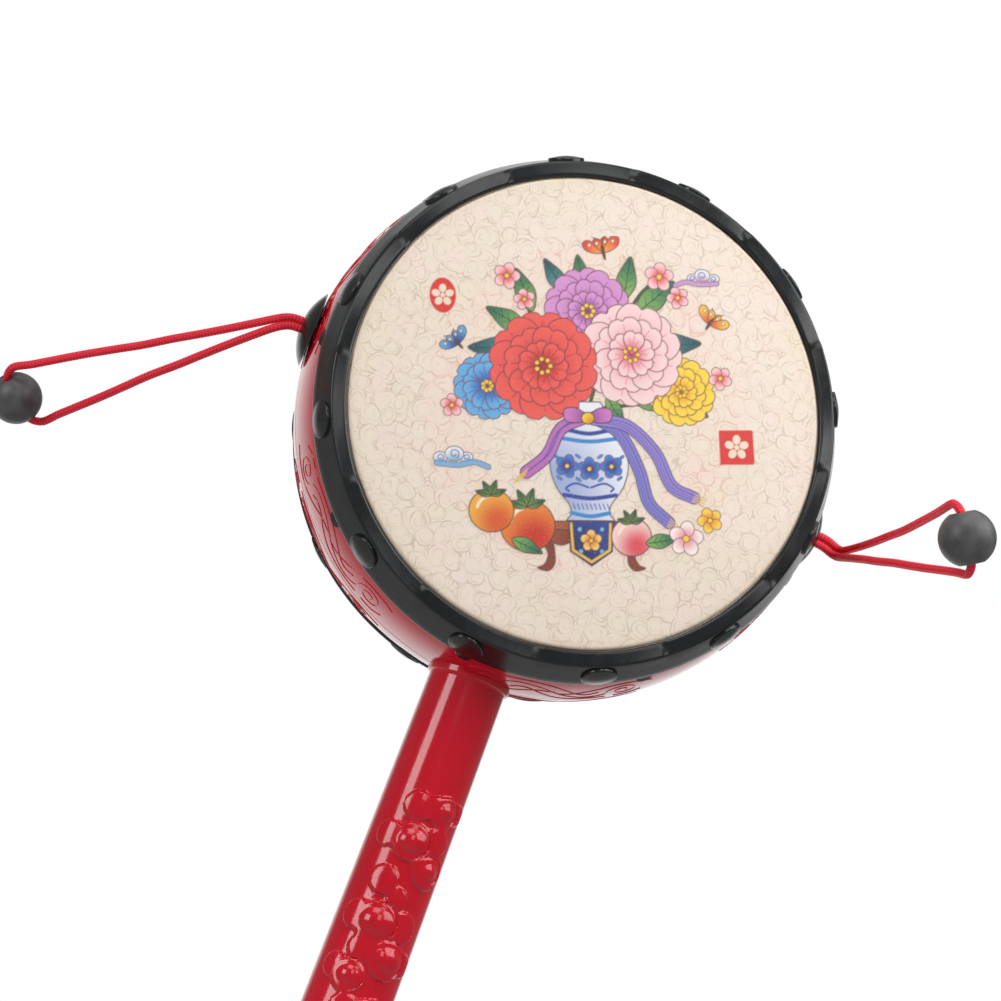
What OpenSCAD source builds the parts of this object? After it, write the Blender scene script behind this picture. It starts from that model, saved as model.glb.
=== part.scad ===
// Twirl rattle drum: a small drum with two skins on a moulded handle, and at each side a bead on a
// looped cord that swings round to strike the skins when the handle is twirled.
// Sizes are in millimetres. +Z runs up the handle to the drum, the front skin faces -Y, and the origin
// is the middle of the handle's lower end. The beads are drawn flung out, as they are in mid-twirl.

/* [Shell] */
// Diameter of the shell's two end necks, which carry the hoops
neck_d = 90; // [80:0.5:110]
// Width of the shell between the two hoops
shell_w = 26.8; // [24:0.2:40]
// Height of the shoulder, from a neck up to the edge of the shell
shoulder_h = 3.1; // [2.5:0.1:4.5]
// Height of the shell's bulge, from its edge to its seam
bulge_h = 1.9; // [0.5:0.1:4]
// Wall of the shell
shell_t = 2.4; // [1.6:0.1:3]
// Wall of a neck
neck_t = 3.6; // [3:0.1:5]
// Bevel of the neck's edge, which the skin bears on
bearing_round = 0.4; // [0.2:0.05:0.5]
// Gap of the seam between the shell's two halves
seam_gap = 0.1; // [0.05:0.05:0.2]

/* [Scroll relief] */
// Number of raised scrolls around each half of the shell
scroll_count = 12; // [8:4:12]
// Radius of a scroll's outer turn
scroll_r = 3; // [2:0.1:3.4]
// Width of a scroll's line
scroll_line = 0.8; // [0.5:0.1:1]
// Height of a scroll's line
scroll_h = 0.4; // [0.2:0.1:0.6]
// Distance of the scrolls from the seam
scroll_off = 6.6; // [5:0.1:8]

/* [Hoops] */
// Width of a hoop's sloping side
hoop_w = 8; // [7.5:0.1:12]
// Wall of a hoop at its rear edge
hoop_rear_t = 3.7; // [3:0.1:5]
// Wall of a hoop at its front ridge
hoop_front_t = 1.5; // [1.2:0.1:2.4]
// Thickness of a hoop's front flange
hoop_flange_t = 1.3; // [1:0.1:2]
// How far the flange laps inward over the end of the neck
hoop_lap = 1.4; // [1.2:0.1:2]
// Drop of the flange's front face from the ridge to the opening
hoop_dish = 0.4; // [0.1:0.1:0.7]
// Rounding of a hoop's outer edges
hoop_round = 0.7; // [0.3:0.1:1]

/* [Studs and tabs] */
// Number of studs on each hoop
stud_count = 12; // [6:1:16]
// Diameter of a stud
stud_d = 6.7; // [4:0.1:7]
// Height of a stud's flat rim above the hoop
stud_h = 0.5; // [0.3:0.1:0.8]
// Height of a stud's dome above its rim
stud_dome_h = 0.4; // [0.2:0.1:0.8]
// Width of the flat rim round a stud's dome
stud_lip = 0.5; // [0.2:0.1:1]
// Depth of a stud's root in the side of its hoop
stud_root = 0.6; // [0.3:0.1:1]
// Angle of the front hoop's first stud, from +X towards +Z
front_stud_angle = 24; // [0:1:30]
// Angle of the back hoop's first stud, from +X towards +Z
back_stud_angle = 17; // [0:1:30]
// Number of rounded tabs on the rear edge of each hoop
tab_count = 9; // [6:1:12]
// Radius of a tab
tab_r = 2; // [1:0.1:3]
// Thickness of a tab
tab_t = 0.7; // [0.4:0.1:1]
// How far a tab runs up the side of its hoop
tab_root = 1; // [0.5:0.1:1.8]
// Angle of the first tab, from +X towards +Z
tab_angle = 25; // [0:1:40]

/* [Skins] */
// Thickness of a skin
skin_t = 0.5; // [0.3:0.05:0.8]
// Height of a skin's crown, from its edge to its middle
skin_crown = 0.8; // [0.2:0.1:2]
// Height of the skin's edge above the rim that the hoop clamps
skin_rise = 1; // [0.9:0.05:1.2]
// Rounding of a skin's edge
skin_round = 0.75; // [0.3:0.05:0.85]

/* [Handle] */
// Length of the handle, from its lower end to the shell
handle_l = 150; // [135:1:200]
// Diameter of the grip
grip_d = 16.6; // [15.6:0.1:20]
// Length of the grip
grip_l = 42; // [30:1:50]
// Diameter of the handle at the shell
handle_top_d = 14.4; // [14:0.1:16]
// Diameter of the collar under the shell
collar_d = 16; // [15:0.1:18]
// Height of that collar
collar_h = 3; // [1:0.1:5]
// Diameter of the handle's bore
handle_bore_d = 11; // [8:0.1:11.5]
// Solid length left between the bore and the shell
handle_solid_l = 10; // [6:0.5:20]
// Diameter of the spigot that the shell's halves clamp
spigot_d = 11; // [8:0.1:12]
// Diameter of the spigot's flange inside the shell
spigot_flange_d = 14; // [13:0.1:18]
// Thickness of that flange
spigot_flange_t = 2; // [1:0.1:3]

/* [Handle relief] */
// Distance of the relief's top from the shell
relief_drop = 22; // [18:1:25]
// Length of one run of the relief
relief_pitch = 38; // [36:1:40]
// Number of runs down each face of the handle
relief_count = 2; // [1:1:2]
// Height of the flat petals above the handle
petal_h = 0.35; // [0.2:0.05:0.6]

/* [End cap] */
// Length of the end cap's plug
plug_l = 10; // [5:0.5:20]
// Diameter of the end cap's head
cap_d = 15; // [12:0.1:15.5]
// Height of the end cap's head
cap_h = 3; // [1:0.1:5]

/* [Eyelets] */
// Diameter of an eyelet's dome
eyelet_d = 14.5; // [12:0.1:16]
// Height of an eyelet's dome
eyelet_h = 2.5; // [2:0.1:4]
// Diameter of an eyelet's shank
shank_d = 6; // [5.6:0.1:8]
// Diameter of the shank's flange inside the shell
shank_flange_d = 9; // [8.5:0.1:12]
// Thickness of that flange
shank_flange_t = 1.2; // [0.8:0.1:2]
// Width of the chamfer round an eyelet's mouth
mouth_chamfer = 0.5; // [0.2:0.1:0.8]

/* [Cords and beads] */
// Diameter of the cord
cord_d = 1.6; // [1.2:0.1:1.8]
// Diameter of the knot inside the shell
knot_d = 6.5; // [5:0.1:8]
// Length from the droop hinge to the swing hinge
turn_l = 3; // [2.8:0.1:5]
// Length from the swing hinge to the bend hinge
bend_l = 27.5; // [25:0.5:29]
// Half the width of the loop at the bend hinge
bend_half = 3; // [2.4:0.1:3.4]
// Length from the swing hinge to the middle of the bead
reach_l = 56; // [55:0.5:62]
// Diameter of a bead
bead_d = 10; // [9:0.1:12]
// Radius of the countersunk mouths of a bead's hole, where they meet the bead's surface
bead_sink_r = 2.2; // [1.6:0.1:2.6]

/* [Cord pose] */
// Droop of the left cord below level
left_droop = 32.5; // [-60:0.1:60]
// Swing of the left cord towards the back
left_swing = 33.3; // [-90:0.1:90]
// Turn of the left cord's loop at its bend hinge
left_bend_twist = 0; // [-40:1:40]
// Turn of the left bead's hole about its cord
left_bead_twist = -35; // [-60:1:60]
// Droop of the right cord below level
right_droop = 25.3; // [-60:0.1:60]
// Swing of the right cord towards the back
right_swing = -82.2; // [-90:0.1:90]
// Turn of the right cord's loop at its bend hinge
right_bend_twist = -30; // [-40:1:40]
// Turn of the right bead's hole about its cord
right_bead_twist = -59; // [-60:1:60]

/* [Clearances] */
// Gap between pieces that are seated on each other
fit = 0.1; // [0.05:0.01:0.15]
// Gap between the skin's rim and what clamps it
rim_gap = 0.05; // [0.02:0.01:0.1]
// Gap between the skin's edge and the hoop's opening
skin_gap = 0.25; // [0.15:0.05:0.4]
// Gap round the cord in an eyelet's bore
bore_gap = 0.2; // [0.1:0.05:0.4]
// Gap between two lengths of cord at a hinge
hinge_gap = 0.2; // [0.15:0.05:0.3]
// Gap between the cord and the top of an eyelet
mouth_gap = 0.3; // [0.2:0.05:0.6]
// Gap round the cord in a bead's hole
bead_gap = 0.1; // [0.05:0.01:0.1]

/* [Hidden] */
$fn = 96;

red = [0.72, 0.06, 0.12];
black = [0.09, 0.09, 0.1];
cream = [0.93, 0.87, 0.78];
cord_red = [0.78, 0.04, 0.14];
bead_grey = [0.17, 0.17, 0.18];

left = -1;
right = 1;
front = 1;
back = -1;

// Radii from the drum's axis, and distances from its middle plane.
neck_r = neck_d / 2;
neck_bore_r = neck_r - neck_t;
edge_r = neck_r + shoulder_h;
shell_r = edge_r + bulge_h;
half_w = shell_w / 2;
drum_z = handle_l + shell_r;
ridge_r = neck_r + hoop_front_t;
hoop_r = neck_r + hoop_rear_t;
opening_r = neck_r - hoop_lap;
hoop_bore_r = neck_r + fit;
hoop_rear = half_w + fit;
ridge = half_w + hoop_w;
clamp = ridge - hoop_flange_t;
rim_front = clamp - rim_gap;
rim_back = rim_front - skin_t;
neck_end = rim_back - rim_gap;
skin_edge = rim_front + skin_rise;
skin_r = opening_r - skin_gap;
bearing_r = skin_r - skin_t - fit;
bearing_end = skin_edge - skin_t - fit;

// The shell's outside is an arc across its width, from edge to edge.
bulge_arc_r = (bulge_h * bulge_h + half_w * half_w) / (2 * bulge_h);
function shell_out(t) = shell_r - bulge_arc_r + sqrt(bulge_arc_r * bulge_arc_r - t * t);

// The inside follows it at the wall's thickness, and tapers at 45 degrees to the necks.
taper = half_w - shoulder_h - shell_t;
function shell_in(t) = shell_out(min(t, taper)) - shell_t - max(0, t - taper);

// Where a flat ring of radius r seats inside the curved shell, as a distance from the drum's axis.
function seat_in(r) = sqrt(pow(shell_in(r), 2) - r * r) - fit;

cord_r = cord_d / 2;
lay = cord_r + 0.05;
pair_r = lay + cord_r + 0.1;
bore_r = lay + cord_r + bore_gap;
eyelet_back = shell_r + fit;
eyelet_top = eyelet_back + eyelet_h;
shank_seat = seat_in(shank_flange_d / 2);
shank_end = shank_seat - shank_flange_t;
droop_x = eyelet_top + mouth_gap + pair_r;
bead_r = bead_d / 2;
bead_bore_r = cord_r + bead_gap;

// Half of each cord's loop, as [distance out from the swing hinge, distance from the loop's middle line].
inner_route = [[cord_r + hinge_gap, lay], [8, 1.3], [15, 1.9], [21, 2.5], [bend_l, bend_half]];
outer_route = [[bend_l + cord_r + hinge_gap, bend_half + 0.1], [33, 3.6], [39, 4.3], [45, 5], [50, 5.7],
               [reach_l - 3.8, bead_r + 1], [reach_l - 2.4, bead_r + 1.2], [reach_l - 1.3, bead_r + 0.9],
               [reach_l - 0.5, bead_r + 0.2], [reach_l - 0.1, bead_r - 0.6], [reach_l, bead_r - 1.4],
               [reach_l, 0]];
cord_sides = 8;

// The handle's relief: flat petals as [distance below the relief's top, angle round from the front, radius],
// and round buds and curls with their height as well.
petals = [[2.5, 52, 1.8], [3.2, 12, 2], [3.5, -12, 2.3], [8.5, 33, 2.3], [9.8, -38, 2.2], [13.8, 35, 3],
          [18, -20, 2.4], [20.5, 6, 1.8], [25, 27, 2.6], [25.2, -40, 2.4], [30.6, -16, 2.2], [31, 50, 2],
          [34.8, -44, 2.1]];
buds = [[3, 29, 1.9, 1.1], [10, -2, 2.5, 1.3], [14, 36, 1.9, 1.1], [25.5, -9, 2.8, 1.3], [31.2, 23, 2.6, 1.3],
        [35.8, -19, 2.1, 1.1]];

function arc(centre, r, from, to, steps) =
    [for (i = [0:steps]) let (a = from + (to - from) * i / steps) centre + r * [cos(a), sin(a)]];

module at_drum() translate([0, 0, drum_z]) children();

// Local z points along the drum's axis, out of its front or its back skin, and local y points up.
module out_of_face(face) at_drum() rotate([90, 0, face == front ? 0 : 180]) children();

// An angle round the drum from +X towards +Z, as it is measured in that frame.
function face_angle(face, angle) = face == front ? angle : 180 - angle;

// Local z points out of the drum's left or right side.
module out_of_side(side) at_drum() rotate([0, 90 * side, 0]) children();

// A dome of the given base radius and height, standing on the plane z = 0.
module dome(r, h) {
    ball_r = (r * r + h * h) / (2 * h);
    intersection() {
        translate([0, 0, h - ball_r]) sphere(ball_r);
        cylinder(r = r + 1, h = h + 1);
    }
}

module shell_body(outer_gap = 0) {
    rotate_extrude()
        polygon(concat([[0, -half_w]],
                       [for (i = [-8:8]) let (t = half_w * i / 8) [shell_out(t) + outer_gap, t]],
                       [[0, half_w]]));
}

// One half of the shell: the bulged wall, the stepped neck and the edge that the skin bears on.
module shell_half() {
    seam = seam_gap / 2;
    outside = [for (i = [0:8]) let (t = seam + (half_w - seam) * i / 8) [shell_out(t), t]];
    neck = [[neck_r, half_w], [neck_r, neck_end], [bearing_r, neck_end],
            [bearing_r, bearing_end - bearing_round], [bearing_r - bearing_round, bearing_end],
            [neck_bore_r, bearing_end]];
    inside = concat([[neck_bore_r, taper + shell_in(taper) - neck_bore_r]],
                    [for (i = [0:6]) let (t = taper + (seam - taper) * i / 6) [shell_in(t), t]]);
    rotate_extrude() polygon(concat(outside, neck, inside));
}

// A raised spiral line of three half turns, standing along z on the plane z = 0 and rooted below it.
module scroll() {
    root = scroll_line;
    for (turn = [[scroll_r, 0, 0], [scroll_r * 2 / 3, -scroll_r / 3, 180], [scroll_r / 3, 0, 0]])
        translate([turn[1], 0, -root])
            rotate([0, 0, turn[2] - 3])
                rotate_extrude(angle = 186)
                    translate([turn[0] - scroll_line / 2, 0])
                        square([scroll_line, root + scroll_h]);
}

// The scrolls of one half of the shell, each square to its bulge.
module scrolls() {
    slope = asin(scroll_off / bulge_arc_r);
    step = 360 / scroll_count;
    for (i = [0:scroll_count - 1])
        rotate([0, 0, step * (i + 0.5)])
            translate([shell_out(scroll_off), 0, scroll_off])
                rotate([0, 90 - slope, 0])
                    rotate([0, 0, 90])
                        scroll();
}

module side_holes() {
    at_drum() rotate([0, 90, 0]) cylinder(r = shank_d / 2 + fit, h = 2 * shell_r + 2, center = true);
    at_drum() rotate([180, 0, 0]) cylinder(r = spigot_d / 2 + fit, h = shell_r + 1);
}

module barrel_half(face) {
    color(red) {
        difference() {
            out_of_face(face) shell_half();
            side_holes();
        }
        out_of_face(face) scrolls();
    }
}

module barrel_front() barrel_half(front);
module barrel_back() barrel_half(back);

// One stud, standing along z on the plane z = 0 and rooted a little below it.
module stud() {
    translate([0, 0, -stud_root]) cylinder(d = stud_d, h = stud_h + stud_root);
    translate([0, 0, stud_h]) dome(stud_d / 2 - stud_lip, stud_dome_h);
}

// A hoop, with its studs square to its sloping side and its tabs over the edge of the shell.
module hoop(face, stud_angle) {
    slope = atan((hoop_r - ridge_r) / (ridge - hoop_rear));
    corner = [ridge_r - hoop_round, ridge - hoop_round];
    heel = [hoop_r - hoop_round, hoop_rear + hoop_round];
    rotate_extrude()
        polygon(concat([[hoop_bore_r, hoop_rear]],
                       arc(heel, hoop_round, -90, slope, 5),
                       arc(corner, hoop_round, slope, 90, 5),
                       [[opening_r, ridge - hoop_dish], [opening_r, clamp], [hoop_bore_r, clamp]]));
    for (i = [0:stud_count - 1])
        rotate([0, 0, face_angle(face, stud_angle + i * 360 / stud_count)])
            translate([(hoop_r + ridge_r) / 2, 0, (hoop_rear + ridge) / 2])
                rotate([0, 90 - slope, 0])
                    stud();
    intersection() {
        rotate_extrude()
            polygon(concat([for (i = [0:4]) let (t = hoop_rear - tab_r + i * tab_r / 4) [shell_out(t) + fit, t]],
                           [[edge_r + fit, hoop_rear + tab_root], [edge_r + fit + tab_t, hoop_rear + tab_root]],
                           [for (i = [4:-1:0]) let (t = hoop_rear - tab_r + i * tab_r / 4)
                               [shell_out(t) + fit + tab_t, t]]));
        for (i = [0:tab_count - 1])
            rotate([0, 0, face_angle(face, tab_angle + i * 360 / tab_count)])
                translate([neck_r, 0, hoop_rear])
                    rotate([0, 90, 0])
                        cylinder(r = tab_r, h = shell_r);
    }
}

module front_hoop() {
    color(black) out_of_face(front) hoop(front, front_stud_angle);
}

module back_hoop() {
    color(black) out_of_face(back) hoop(back, back_stud_angle);
}

// A skin: its crowned field, its rounded edge and the flat rim that the hoop clamps on the neck.
module skin() {
    field_r = skin_r - skin_round;
    function crown(r, top) = top + skin_crown * (1 - pow(r / field_r, 2));
    outside = concat([for (i = [0:10]) let (r = field_r * i / 10) [r, crown(r, skin_edge)]],
                     arc([field_r, skin_edge - skin_round], skin_round, 80, 0, 5));
    rim = [[skin_r, rim_front], [neck_r - 2 * fit, rim_front], [neck_r - 2 * fit, rim_back],
           [skin_r - skin_t, rim_back]];
    inside = concat([[skin_r - skin_t, bearing_end - bearing_round + fit / 2],
                     [skin_r - skin_t - bearing_round, bearing_end + fit / 2]],
                    [for (i = [9:-1:0]) let (r = field_r * i / 10) [r, crown(r, skin_edge - skin_t)]]);
    rotate_extrude() polygon(concat(outside, rim, inside));
}

module front_skin() {
    color(cream) out_of_face(front) skin();
}

module back_skin() {
    color(cream) out_of_face(back) skin();
}

function handle_r(z) =
    z < grip_l ? grip_d / 2
               : (grip_d + (handle_top_d - grip_d) * (z - grip_l) / (handle_l - grip_l)) / 2;

// Local z points out of the handle's front face, from a point of its surface.
module on_handle(drop, angle) {
    z = handle_l - relief_drop - drop;
    rotate([0, 0, angle])
        translate([0, -handle_r(z), z])
            rotate([90, 0, 0])
                children();
}

// The petals, buds and curls that stand out of one face of the handle.
module handle_relief() {
    for (run = [0:relief_count - 1]) {
        for (petal = petals)
            on_handle(petal[0] + run * relief_pitch, petal[1])
                translate([0, 0, -1])
                    cylinder(r = petal[2], h = 1 + petal_h);
        for (bud = buds) {
            ball_r = (bud[2] * bud[2] + bud[3] * bud[3]) / (2 * bud[3]);
            on_handle(bud[0] + run * relief_pitch, bud[1])
                translate([0, 0, bud[3] - ball_r])
                    sphere(ball_r);
        }
    }
}

module handle() {
    seat = seat_in(spigot_flange_d / 2);
    color(red)
        difference() {
            union() {
                difference() {
                    union() {
                        cylinder(d = grip_d, h = grip_l);
                        translate([0, 0, grip_l])
                            cylinder(d1 = grip_d, d2 = handle_top_d, h = handle_l - grip_l);
                        translate([0, 0, handle_l - collar_h])
                            cylinder(d = collar_d, h = collar_h + bulge_h + 1);
                        for (face = [0, 180])
                            rotate([0, 0, face]) handle_relief();
                    }
                    out_of_face(front) shell_body(fit);
                }
                translate([0, 0, handle_l - handle_solid_l])
                    cylinder(d = spigot_d, h = handle_solid_l + shell_r - seat + 0.5);
                translate([0, 0, drum_z - seat])
                    cylinder(d = spigot_flange_d, h = spigot_flange_t);
            }
            translate([0, 0, -1]) cylinder(d = handle_bore_d, h = handle_l - handle_solid_l + 1);
        }
}

module handle_end_cap() {
    color(red) {
        cylinder(d = handle_bore_d - 2 * fit, h = plug_l);
        translate([0, 0, -fit]) cylinder(d = handle_bore_d - 2 * fit, h = 1);
        translate([0, 0, -fit]) rotate([180, 0, 0]) dome(cap_d / 2, cap_h);
    }
}

// A domed eyelet on the shell's seam, its shank clamped between the halves.
module eyelet(side) {
    out_of_side(side)
        difference() {
            union() {
                translate([0, 0, eyelet_back]) dome(eyelet_d / 2, eyelet_h);
                translate([0, 0, shank_end]) cylinder(d = shank_d, h = eyelet_back - shank_end + 0.5);
                translate([0, 0, shank_end]) cylinder(d = shank_flange_d, h = shank_flange_t);
            }
            translate([0, 0, shank_end - 1]) cylinder(r = bore_r, h = eyelet_top - shank_end + 2);
            translate([0, 0, eyelet_top - mouth_chamfer])
                cylinder(r1 = bore_r, r2 = bore_r + 2 * mouth_chamfer, h = 2 * mouth_chamfer);
        }
}

module left_eyelet() {
    color(black) eyelet(left);
}

module right_eyelet() {
    color(black) eyelet(right);
}

// The knot inside the shell, and the doubled cord that runs from it through the eyelet.
module cord_knot(side) {
    knot_x = shank_end - sqrt(pow(knot_d / 2 + fit, 2) - bore_r * bore_r);
    out_of_side(side) {
        translate([0, 0, knot_x]) sphere(d = knot_d);
        for (strand = [-lay, lay])
            translate([strand, 0, knot_x]) cylinder(r = cord_r, h = droop_x - pair_r - hinge_gap - knot_x);
    }
}

module left_cord_knot() {
    color(cord_red) cord_knot(left);
}

module right_cord_knot() {
    color(cord_red) cord_knot(right);
}

// Local x runs out along the cord from its droop hinge, and local y towards the back of the drum.
module drooped(side)
    translate([side * droop_x, 0, drum_z])
        mirror([side < 0 ? 1 : 0, 0, 0])
            rotate([0, side < 0 ? left_droop : right_droop, 0])
                children();

// Local x runs out along the cord from its swing hinge.
module swung(side)
    drooped(side)
        translate([turn_l, 0, 0])
            rotate([0, 0, side < 0 ? left_swing : right_swing])
                children();

// The short doubled length that turns on the droop hinge and carries the swing hinge at its end.
module cord_root(side) {
    drooped(side) {
        rotate([90, 0, 0]) cylinder(r = pair_r, h = cord_d + 0.2, center = true);
        for (strand = [-lay, lay])
            translate([0, 0, strand])
                rotate([0, 90, 0])
                    rotate_extrude()
                        polygon(concat([[0, 0], [cord_r, 0]], arc([0, turn_l], cord_r, 0, 90, 5)));
    }
}

module left_cord_root() {
    color(cord_red) cord_root(left);
}

module right_cord_root() {
    color(cord_red) cord_root(right);
}

// Turn of the loop's plane about the cord, at a distance out from the swing hinge.
function bend_twist(side) = side < 0 ? left_bend_twist : right_bend_twist;
function bead_twist(side) = side < 0 ? left_bead_twist : right_bead_twist;
function loop_twist(side, out) =
    out < bend_l ? bend_twist(side) * out / bend_l
                 : bend_twist(side) + (bead_twist(side) - bend_twist(side))
                   * min(1, (out - bend_l) / (reach_l - 6 - bend_l));

// A point of the loop, on its upper (half = 1) or lower (half = -1) strand.
function loop_point(side, place, half) =
    let (twist = loop_twist(side, place[0]))
    [place[0], half * place[1] * sin(twist), half * place[1] * cos(twist)];

function unit(v) = v / norm(v);

// A tube along a path, as rings square to it. Each ring takes its own radius.
module tube(path, radii, across) {
    last = len(path) - 1;
    rings = [for (i = [0:last])
        let (ahead = unit(path[min(i + 1, last)] - path[max(i - 1, 0)]),
             side = unit(across[i] - (across[i] * ahead) * ahead),
             up = cross(ahead, side))
        for (k = [0:cord_sides - 1])
            let (a = 360 * (k + 0.5) / cord_sides)
            path[i] + radii[i] * (cos(a) * side + sin(a) * up)];
    walls = [for (i = [0:last - 1], k = [0:cord_sides - 1])
        let (a = i * cord_sides + k,
             b = i * cord_sides + (k + 1) % cord_sides,
             c = b + cord_sides,
             d = a + cord_sides)
        each [[a, c, b], [a, d, c]]];
    ends = [[for (k = [0:cord_sides - 1]) k],
            [for (k = [cord_sides - 1:-1:0]) last * cord_sides + k]];
    polyhedron(points = rings, faces = concat(walls, ends), convexity = 4);
}

// Square to the loop's plane at a distance out from the swing hinge.
function loop_across(side, out) =
    let (twist = loop_twist(side, out)) [0, cos(twist), -sin(twist)];

// The two strands from the swing hinge to the bend hinge, each rounded off on the bend hinge's axis.
module cord_inner(side) {
    round_off = [[0.5, 0.85], [0.85, 0.5]];
    places = concat(inner_route, [for (r = round_off) [bend_l + r[0] * cord_r, bend_half]]);
    radii = concat([for (p = inner_route) cord_r], [for (r = round_off) r[1] * cord_r]);
    swung(side)
        for (half = [-1, 1])
            tube([for (p = places) loop_point(side, p, half)], radii,
                 [for (p = places) loop_across(side, p[0])]);
}

module left_cord_inner() {
    color(cord_red) cord_inner(left);
}

module right_cord_inner() {
    color(cord_red) cord_inner(right);
}

// The rest of the loop: out along one strand, through the bead and back along the other.
module cord_outer(side) {
    last = len(outer_route) - 1;
    path = concat([for (i = [0:last]) loop_point(side, outer_route[i], 1)],
                  [for (i = [last - 1:-1:0]) loop_point(side, outer_route[i], -1)]);
    outs = concat([for (i = [0:last]) outer_route[i][0]], [for (i = [last - 1:-1:0]) outer_route[i][0]]);
    swung(side)
        tube(path, [for (p = path) cord_r], [for (out = outs) loop_across(side, out)]);
}

module left_cord_outer() {
    color(cord_red) cord_outer(left);
}

module right_cord_outer() {
    color(cord_red) cord_outer(right);
}

// A bead, bored through for the cord, with a countersink at each mouth of the hole.
module bead(side) {
    sink_top = sqrt(bead_r * bead_r - bead_sink_r * bead_sink_r);
    sink_l = bead_sink_r - bead_bore_r;
    swung(side)
        translate([reach_l, 0, 0])
            rotate([-bead_twist(side), 0, 0])
                difference() {
                    sphere(bead_r);
                    cylinder(r = bead_bore_r, h = bead_d + 2, center = true);
                    for (end = [0, 180])
                        rotate([end, 0, 0])
                            translate([0, 0, sink_top - sink_l])
                                cylinder(r1 = bead_bore_r, r2 = bead_sink_r + sink_l, h = 2 * sink_l);
                }
}

module left_bead() {
    color(bead_grey) bead(left);
}

module right_bead() {
    color(bead_grey) bead(right);
}

barrel_front();
barrel_back();
front_hoop();
back_hoop();
front_skin();
back_skin();
handle();
handle_end_cap();
left_eyelet();
right_eyelet();
left_cord_knot();
right_cord_knot();
left_cord_root();
right_cord_root();
left_cord_inner();
right_cord_inner();
left_cord_outer();
right_cord_outer();
left_bead();
right_bead();
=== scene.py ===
# Looks of the twirl rattle drum: moulded shell, hoops and handle, printed skins, braided cords and beads.
# Sizes are in millimetres in the part's frame until a mesh is made, and every mesh is in metres.
import math

import bpy
import numpy as np
from mathutils import Matrix, Vector


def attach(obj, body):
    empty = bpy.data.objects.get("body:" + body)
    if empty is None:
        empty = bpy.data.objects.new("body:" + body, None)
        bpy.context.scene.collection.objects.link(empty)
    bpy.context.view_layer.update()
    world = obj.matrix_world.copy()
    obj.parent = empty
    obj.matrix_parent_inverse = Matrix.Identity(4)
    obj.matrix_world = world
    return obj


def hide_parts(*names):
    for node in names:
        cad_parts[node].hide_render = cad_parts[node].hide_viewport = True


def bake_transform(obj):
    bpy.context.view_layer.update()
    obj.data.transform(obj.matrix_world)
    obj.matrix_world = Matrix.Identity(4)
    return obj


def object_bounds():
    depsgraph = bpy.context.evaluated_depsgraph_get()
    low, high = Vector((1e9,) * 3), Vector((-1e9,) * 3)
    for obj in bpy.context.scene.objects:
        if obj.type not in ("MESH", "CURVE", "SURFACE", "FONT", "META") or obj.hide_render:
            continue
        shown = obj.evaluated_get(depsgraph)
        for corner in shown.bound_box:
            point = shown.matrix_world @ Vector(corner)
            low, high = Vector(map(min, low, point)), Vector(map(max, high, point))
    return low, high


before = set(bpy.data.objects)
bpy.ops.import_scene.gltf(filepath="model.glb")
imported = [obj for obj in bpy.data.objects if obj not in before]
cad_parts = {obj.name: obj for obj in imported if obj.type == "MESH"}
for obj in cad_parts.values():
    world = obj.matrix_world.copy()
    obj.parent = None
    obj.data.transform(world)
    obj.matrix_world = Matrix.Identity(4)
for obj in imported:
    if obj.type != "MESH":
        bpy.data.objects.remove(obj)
cad_low, cad_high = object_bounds()
scene = bpy.context.scene

MM = 0.001
FRONT = 1
BACK = -1
LEFT = -1
RIGHT = 1
FACE_NAME = {FRONT: "front", BACK: "back"}
SIDE_NAME = {LEFT: "left", RIGHT: "right"}
HARD_EDGE = 38.0

# Shell
DRUM_Z = 200.0
SHELL_R = 50.0
EDGE_R = 48.1
EDGE_ROUND = 0.25
NECK_R = 45.0
NECK_BORE_R = 41.4
NECK_BORE_END = 11.4
HALF_W = 13.4
SHELL_T = 2.4
TAPER = 7.9
SEAM = 0.05
SEAM_ROUND = 0.18
NECK_END = 19.5
BEARING_R = 42.75
BEARING_END = 20.45
BEARING_EASE = 0.4
BULGE_ARC_R = 48.2
FIT = 0.1
SHELL_SIDES = 288

# Scrolls on the shell: their lines are distances round the shell and from its middle plane.
PANEL_COUNT = 6
PANEL_ANGLE = 47.0
SCROLL_OFF = 6.6
SCROLL_R = 3.0
SCROLL_EYE_R = 0.7
SCROLL_TURN = 560.0
SCROLL_APART = 26.2
SCROLL_LINE_R = 0.12
SWEEP = [(-9.6, 8.4), (-6.8, 9.7), (-2.4, 8.6), (2.4, 4.8), (6.6, 3.3), (9.6, 4.7)]
TRAILS = [
    [(-18.2, 3.6), (-15.2, 2.6), (-11.2, 2.7), (-7.4, 4.6), (-3.4, 7.0), (0.2, 7.0)],
    [(-8.2, 6.4), (-6.6, 7.6), (-4.6, 7.4), (-2.2, 5.4), (1.2, 2.9), (5.6, 1.9), (10.6, 2.3)],
    [(18.2, 9.6), (15.2, 10.6), (11.2, 10.5), (7.4, 8.6), (3.4, 6.2), (0.6, 6.0)],
    [(8.4, 6.9), (6.4, 5.6), (4.4, 6.2), (2.2, 8.2), (-1.2, 10.4), (-5.6, 11.3), (-10.6, 10.9)],
    [(-17.0, 9.0), (-15.0, 10.6), (-12.2, 10.9)],
    [(17.0, 4.2), (15.0, 2.6), (12.2, 2.3)],
]

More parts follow.
